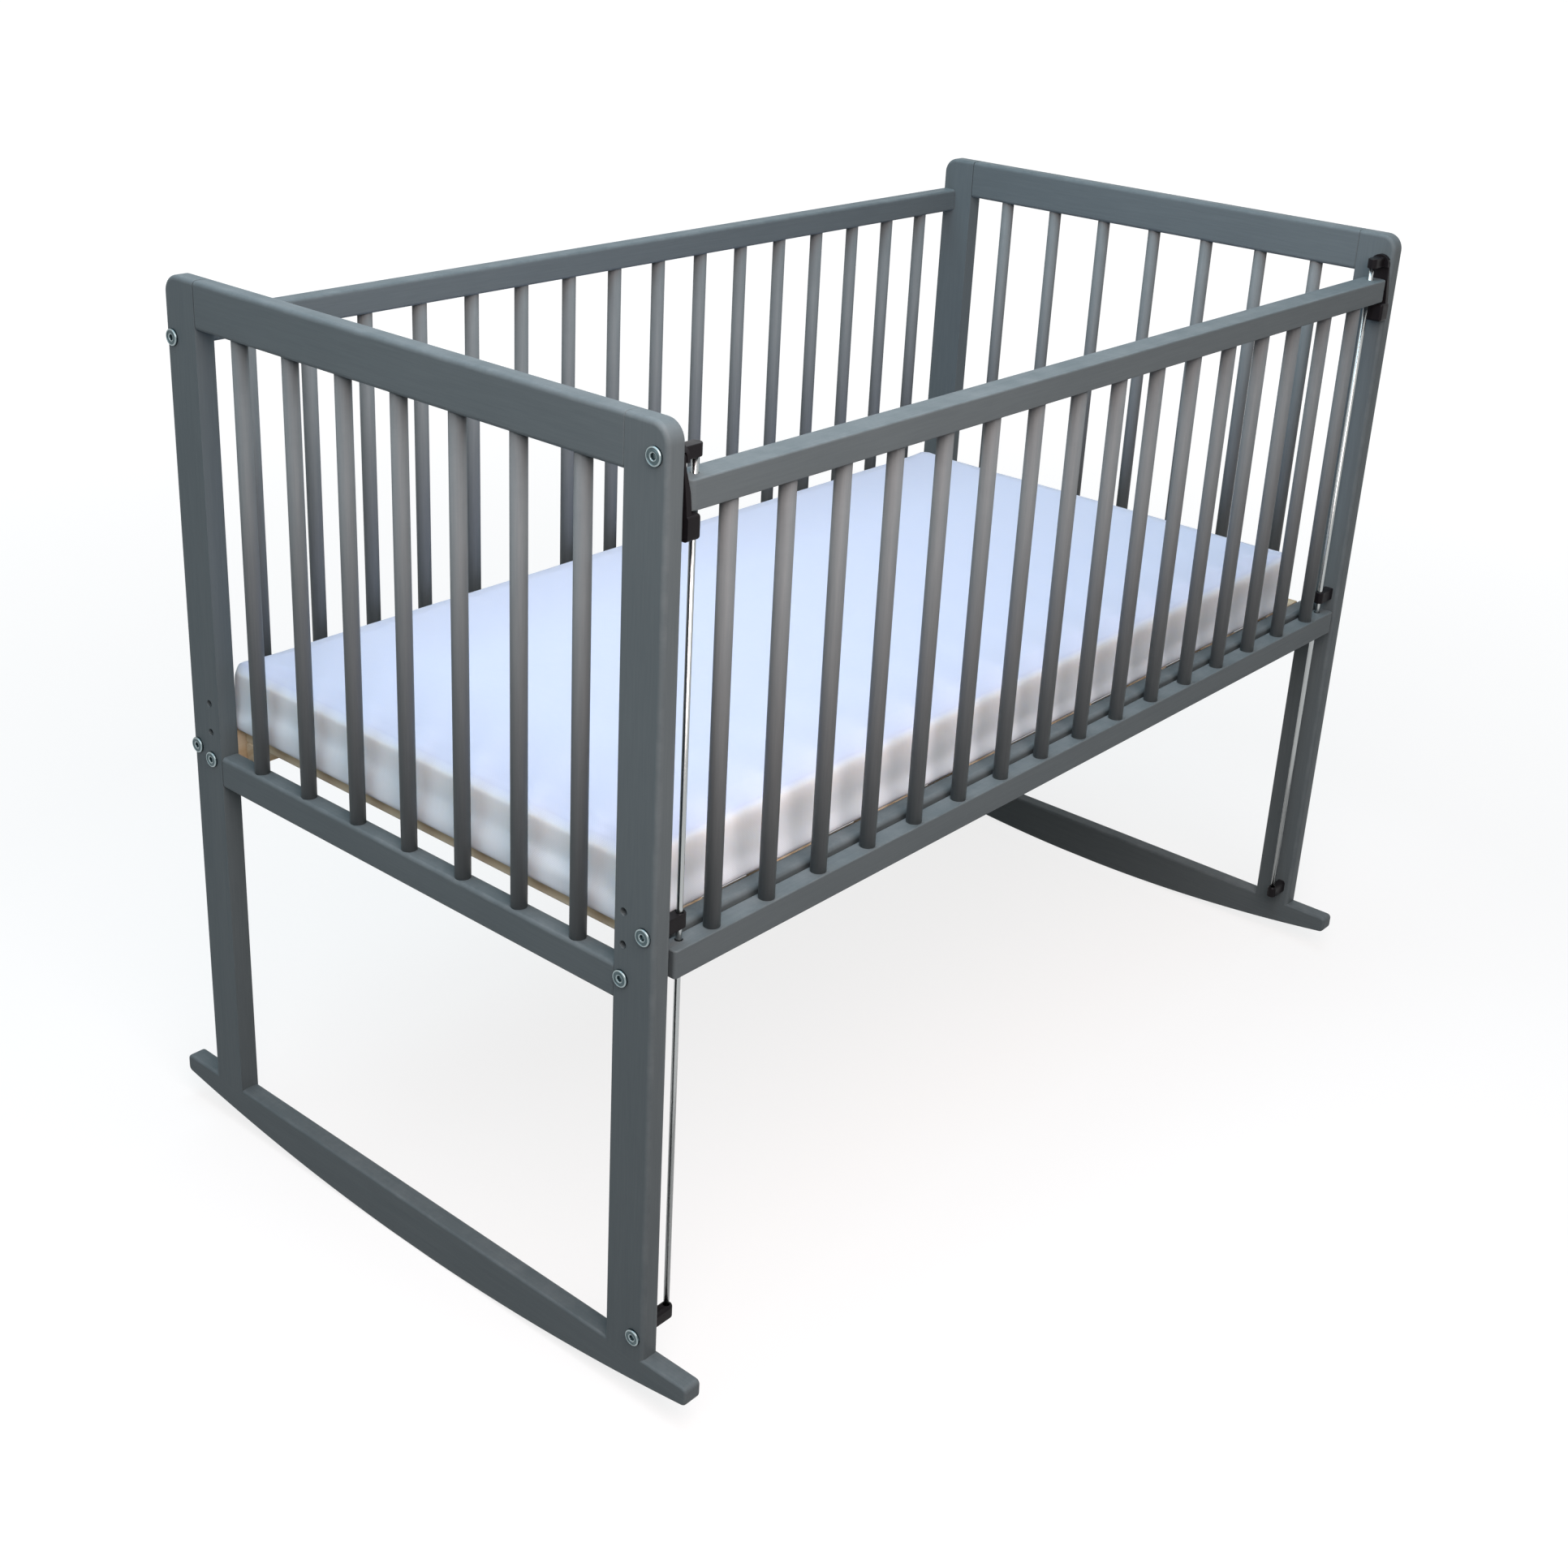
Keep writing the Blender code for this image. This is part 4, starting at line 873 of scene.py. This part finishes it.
zinc, n, shader = new_material("zinc_screw", Metallic=1.0)
solid = n.add("ShaderNodeTexCoord").outputs["Object"]
stain = n.span(n.noise(solid, 240.0, 4.0), 0.35, 0.7, 0.0, 0.7)
tone = n.mix(stain, ZINC, ZINC_DARK)
# painted highlight: the rims of the head and of the socket are painted brighter
n.feed(shader, "Base Color", n.mix(n.attribute("edge")["Fac"], tone, ZINC_GLINT))
turned = n.noise(solid, 2200.0, 3.0)
n.feed(shader, "Roughness", n.span(turned, 0.3, 0.7, 0.20, 0.34))
n.bump(shader, turned, 0.08, 0.00005)


def ring_point(shape, radius, angle, height):
    """A corner of the head, given in millimetres about its axis."""
    return shape.verts.new((radius * math.cos(angle) / MILLIMETRES, radius * math.sin(angle) / MILLIMETRES,
                            height / MILLIMETRES))


shape = bmesh.new()
glint = shape.verts.layers.float.new("edge")
angles = [math.tau * step / SCREW_SIDES for step in range(SCREW_SIDES)]
sixth = math.radians(60)
rings = []
for radius, height in SCREW_PROFILE:
    rings.append([ring_point(shape, radius, angle, height) for angle in angles])
    for corner in rings[-1]:
        corner[glint] = float(any(least < radius < most for least, most in GLINT_RADII))
for height in SOCKET_HEIGHTS:
    rings.append([ring_point(shape, SOCKET_HALF_WIDTH / math.cos(angle % sixth - sixth / 2), angle, height)
                  for angle in angles])
for lower, upper in zip(rings, rings[1:]):
    for step in range(SCREW_SIDES):
        after = (step + 1) % SCREW_SIDES
        shape.faces.new((lower[step], lower[after], upper[after], upper[step]))
shape.faces.new(rings[0][::-1])
shape.faces.new(rings[-1])
screw_head = rough_piece("screw_head", shape, zinc)
screw_head.data.shade_smooth()
screw_head.data.set_sharp_from_angle(angle=math.radians(SCREW_SHARP_DEGREES))

# A head on every point of a mesh, turned to its face and spun by chance.
screw_heads, t, given, heads_out = new_group(
    "screw_heads",
    [("Geometry", GEOMETRY, None), ("Head", "NodeSocketObject", None), ("Facing", VECTOR, None),
     ("Seed", WHOLE, None), ("Material", MATERIAL, None)],
    [("Geometry", GEOMETRY)], "GeometryNodeTree")
head = t.add("GeometryNodeObjectInfo", Object=given["Head"])
facing = t.add("FunctionNodeEulerToRotation")
t.feed(facing, 0, given["Facing"])
placed = t.add("GeometryNodeInstanceOnPoints", Points=given["Geometry"],
               Instance=head.outputs["Geometry"], Rotation=facing.outputs[0])
chance = t.add("FunctionNodeRandomValue", {"data_type": "FLOAT"}, Seed=given["Seed"])
t.feed(chance, 2, 0.0)
t.feed(chance, 3, math.tau)
spin = t.add("ShaderNodeCombineXYZ", Z=chance.outputs[1])
turned = t.add("FunctionNodeEulerToRotation")
t.feed(turned, 0, spin.outputs[0])
spun = t.add("GeometryNodeRotateInstances", Instances=placed.outputs[0], Rotation=turned.outputs[0],
             Local_Space=True)
real = t.add("GeometryNodeRealizeInstances", Geometry=spun.outputs[0])
done = t.add("GeometryNodeSetMaterial", Geometry=real.outputs[0], Material=given["Material"])
t.feed(heads_out, "Geometry", done.outputs[0])

for label, side in SIDES:
    x = side * abs(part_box("front_post_left")[0].x)
    screws = grown_piece("screws_" + label, screw_heads, [(x, y, z) for y, z in SCREW_PLACES],
                         Head=screw_head, Facing=(0, side * math.pi / 2, 0), Seed=SCREW_SEED + side,
                         Material=zinc)
    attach(screws, "frame")
bpy.data.objects.remove(screw_head)


# The mattress: a block of soft foam in a thin woven cover, pale blue on top and white round its
# sides, which are painted lighter still, with a painted warm band under the top edge and painted
# shade at their foot. The cover swells a little over the foam and creases low on its sides. It
# lies loose on the slats, pushed a little over the front bar.
COVER = (0.580, 0.630, 0.795, 1)           # the top panel, a pale blue
COVER_SHADE = (0.570, 0.615, 0.765, 1)
BORDER_LIT = (0.815, 0.910, 1.000, 1)          # the white strip round the sides, painted lighter still as painted light
SIDE_BAND_LIGHT = (0.900, 0.940, 0.985, 1)       # painted light: a paler, warmer band just under the top edge, where the warm front light falls
FOOT_PAINTED_SHADE = (0.630, 0.600, 0.620, 1)      # painted shade along the foot of the sides, where they meet the slats
SIDE_BAND_HEIGHTS = (0.398, 0.412, 0.418, 0.428)   # the heights at which the tint starts, is full and ends
FOOT_SHADE_HEIGHTS = (0.3675, 0.3715)
WEAVE_HOLLOW_SHADE = (0.52, 0.56, 0.63, 1)
SLUB = (0.58, 0.60, 0.64, 1)
MATTRESS_SHRINK = 0.003
MATTRESS_SIDE_SHRINK = 0.0005
MATTRESS_DEEPER = 0.005      # added below and cut off flat again, which leaves the foot crisp
MATTRESS_LAP = 0.003         # how far the cover reaches out over the front bar
MATTRESS_ROUND = 0.009
MATTRESS_CORNER_ROUND = 0.005
MATTRESS_STEPS = 5
FOOT_BAND = 0.01             # edges lower than this over the foot stay square
PINNED_RISE = 0.002
VOXEL = 0.006
SWELL_FRAMES = 20
SWELL_CAP = 0.004
COVER_CLOTH = {"quality": 5, "mass": 0.3, "tension_stiffness": 12, "compression_stiffness": 12,
               "shear_stiffness": 5, "bending_stiffness": 0.4, "vertex_group_mass": "held",
               "use_pressure": True, "uniform_pressure_force": 3.0}
CREASE_DEPTH = 0.0005
CREASE_TOP = 1.45            # the creases die out where the height times this is the full height
FOLD = (13, 11, 3.5)         # turns with the height, along the side and with the drift
SLANT = (9, 46, 5.0)
SLANT_SHARE = 0.45
PATCH_SHARE = 0.55
PATCH_SHIFT = Vector((3, 7, 1))
DRIFT_SCALE = 7
PATCH_SCALE = 5
LONG_SIDE_DEPTH = 0.03       # a place nearer than this to a long side follows that side
TOP_WAVE = 0.0004
TOP_WAVE_SCALE = 14
THREAD = 0.0009

# The weave: warp and weft threads that pass over and under each other.
weave_tree, v, v_in, v_out = new_group(
    "plain_weave", [("Place", VECTOR, None), ("Threads", FLOAT, 1000.0)],
    [("Height", FLOAT), ("Slub", FLOAT)])
scaled = v.add("ShaderNodeVectorMath", {"operation": "SCALE"})
v.feed(scaled, 0, v_in["Place"])
v.feed(scaled, "Scale", v.maths("MULTIPLY", v_in["Threads"], math.pi))
parts = v.add("ShaderNodeSeparateXYZ", Vector=scaled.outputs[0])
over = v.maths("MULTIPLY", v.maths("SINE", parts.outputs["X"]), v.maths("SINE", parts.outputs["Y"]))
v.feed(v_out, "Height", v.span(over, -1.0, 1.0))
v.feed(v_out, "Slub", v.noise(v.vectors("MULTIPLY", v_in["Place"], (1.0, 0.05, 1.0)), 900.0, 2.0))

cover, n, shader = new_material("mattress_cover", IOR=1.4, Sheen_Weight=0.25, Sheen_Roughness=0.5,
                                Specular_IOR_Level=0.2, Subsurface_Weight=0.5, Subsurface_Scale=0.018,
                                Subsurface_Radius=(1.0, 0.9, 0.8))
solid = n.add("ShaderNodeTexCoord").outputs["Object"]
flat = n.add("ShaderNodeUVMap", {"uv_map": "cloth"}).outputs[0]
weave = n.group(weave_tree, Place=flat, Threads=1 / THREAD)
cloud = n.noise(solid, 7.0, 3.0)
tone = n.mix(n.span(cloud, 0.35, 0.65, 0.0, 0.4), COVER, COVER_SHADE)
height = n.add("ShaderNodeSeparateXYZ", Vector=solid).outputs["Z"]
level = n.add("ShaderNodeSeparateXYZ", Vector=n.add("ShaderNodeNewGeometry").outputs["Normal"])
upright = n.span(n.maths("ABSOLUTE", level.outputs["Z"]), 0.35, 0.85, 1.0, 0.0)
# painted light: the upright sides are painted paler than the top, to make up for the light that they lack
tone = n.mix(upright, tone, BORDER_LIT)
# painted light: a warm band under the top edge of the sides, wavering with the cloud
waver = n.maths("ADD", height, n.maths("MULTIPLY", cloud, 0.010))
light_band = n.maths("MULTIPLY", n.span(waver, *SIDE_BAND_HEIGHTS[:2]), n.span(waver, *SIDE_BAND_HEIGHTS[2:], 1.0, 0.0))
tone = n.mix(n.maths("MULTIPLY", n.maths("MULTIPLY", light_band, upright), 0.75), tone, SIDE_BAND_LIGHT)
# painted shade: the foot of the sides darkened, where they meet the slats
foot_shade = n.maths("MULTIPLY", n.span(height, *FOOT_SHADE_HEIGHTS, 1.0, 0.0), upright)
tone = n.mix(n.maths("MULTIPLY", foot_shade, 0.4), tone, FOOT_PAINTED_SHADE)
# painted shade: the low places of the weave, between the threads, darkened
tone = n.mix(n.span(weave["Height"], 0.0, 1.0, 0.10, 0.0), tone, WEAVE_HOLLOW_SHADE)
tone = n.mix(n.span(weave["Slub"], 0.35, 0.65, 0.0, 0.07), tone, SLUB)
n.feed(shader, "Base Color", tone)
n.feed(shader, "Roughness", n.span(cloud, 0.3, 0.7, 0.80, 0.92))
threads = n.add("ShaderNodeBump", Height=weave["Height"], Strength=0.22, Distance=0.0002)
n.bump(shader, n.noise(solid, 42.0, 4.0), 0.35, 0.0012, Normal=threads.outputs[0])

low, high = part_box("mattress")
low.y -= MATTRESS_LAP
inset = Vector((MATTRESS_SIDE_SHRINK, MATTRESS_SIDE_SHRINK, 0))
shape = box_shape(low + inset - Vector((0, 0, MATTRESS_DEEPER)),
                  high - inset - Vector((0, 0, MATTRESS_SHRINK)))
round_over(shape, [e for e in shape.edges if runs(e, Z_AXIS)], MATTRESS_CORNER_ROUND, MATTRESS_STEPS,
           mark_edge=False)
above = [e for e in shape.edges if min(corner.co.z for corner in e.verts) > low.z + FOOT_BAND]
round_over(shape, above, MATTRESS_ROUND, MATTRESS_STEPS, mark_edge=False)
pad = rough_piece("mattress_foam", shape, cover)
grid = pad.modifiers.new("grid", "REMESH")
grid.mode = "VOXEL"
grid.voxel_size = VOXEL
plain_mesh(pad)
start = [corner.co.copy() for corner in pad.data.vertices]
held = pad.vertex_groups.new(name="held")
foot = [corner.index for corner in pad.data.vertices if corner.co.z < low.z + PINNED_RISE]
held.add(foot, 1.0, "ADD")
cloth = pad.modifiers.new("cloth", "CLOTH")
for setting, value in COVER_CLOTH.items():
    setattr(cloth.settings, setting, value)
cloth.settings.effector_weights.gravity = 0
cloth.collision_settings.use_self_collision = False
cloth.point_cache.frame_start = 1
cloth.point_cache.frame_end = SWELL_FRAMES
for number in range(1, SWELL_FRAMES + 1):
    scene.frame_set(number)
plain_mesh(pad)
for corner, before in zip(pad.data.vertices, start):
    moved = corner.co - before
    if moved.length > SWELL_CAP:
        corner.co = before + moved * (SWELL_CAP / moved.length)
scene.frame_set(1)


def creases(place):
    """How far the cover stands out at a place on a side: soft slanting folds, deepest low down."""
    along = place.x if abs(abs(place.y) - high.y) < LONG_SIDE_DEPTH else place.y
    rise = (place.z - low.z) / (high.z - low.z)
    drift = noise.noise(place * DRIFT_SCALE)
    fold, slant = (math.sin(rise * up + along * sideways + drift * wander)
                   for up, sideways, wander in (FOLD, SLANT))
    weight = max(0.0, math.sin(min(1.0, max(0.0, rise * CREASE_TOP)) * math.pi))
    patch = max(0.0, PATCH_SHARE + noise.noise(place * PATCH_SCALE + PATCH_SHIFT))
    return CREASE_DEPTH * weight * (fold + SLANT_SHARE * slant * patch)


pad.data.update()
facings = [Vector((corner.normal.x, corner.normal.y, 0)) for corner in pad.data.vertices]
for corner, sideways in zip(pad.data.vertices, facings):
    wave = TOP_WAVE * noise.noise(corner.co * TOP_WAVE_SCALE)
    corner.co += sideways * creases(corner.co) - Vector((0, 0, wave))
finer = pad.modifiers.new("finer", "SUBSURF")
finer.levels = finer.render_levels = 1
plain_mesh(pad)
for corner in pad.data.vertices:
    corner.co = Vector(min(max(value, least), most) for value, least, most in zip(corner.co, low, high))
pad.data.shade_smooth()


def lay_cloth_uv(piece):
    """Unfold the cover in metres, each face along the side that it looks to."""
    mesh = piece.data
    layer = mesh.uv_layers.new(name="cloth")
    for face in mesh.polygons:
        axis = max(range(3), key=lambda number: abs(face.normal[number]))
        first, second = ((Y_AXIS, Z_AXIS), (X_AXIS, Z_AXIS), (X_AXIS, Y_AXIS))[axis]
        for loop in face.loop_indices:
            co = mesh.vertices[mesh.loops[loop].vertex_index].co
            layer.data[loop].uv = (co[first], co[second])


lay_cloth_uv(pad)
place_in(pad, "frame", "mattress_cover", "mattress")


# The floor: a plain sheet of white paper. It shows white to the eye and in reflections, and
# keeps the crib's shadow, while it sends little light up, as in the studio.
LAMP_SHARE = 0.20            # of the floor's white about the crib, which its shadow can darken
LAMP_REACH = (0.9, 2.6)      # from the middle of the crib, where that share fades out
FLOOR_HALF = 14
PAPER = (0.19, 0.19, 0.19, 1)
PAPER_PALE = (0.21, 0.21, 0.21, 1)
floor_shape = bmesh.new()
bmesh.ops.create_grid(floor_shape, x_segments=1, y_segments=1, size=FLOOR_HALF)
floor_mesh = bpy.data.meshes.new("floor")
floor_shape.to_mesh(floor_mesh)
floor_shape.free()
floor = bpy.data.objects.new("floor", floor_mesh)
scene.collection.objects.link(floor)
paper, n, shader = new_material("pale_floor", Roughness=0.9, Specular_IOR_Level=0.1,
                                Emission_Color=(1, 1, 1, 1))
solid = n.add("ShaderNodeTexCoord").outputs["Object"]
n.feed(shader, "Base Color", n.mix(n.noise(solid, 600.0, 3.0), PAPER, PAPER_PALE))
away = n.add("ShaderNodeVectorMath", {"operation": "LENGTH"})
n.feed(away, 0, solid)
bare = n.span(away.outputs["Value"], *LAMP_REACH, 1.0 - LAMP_SHARE, 1.0)
n.feed(shader, "Emission Strength", n.maths("MULTIPLY", n.seen(), bare))
floor.data.materials.append(paper)
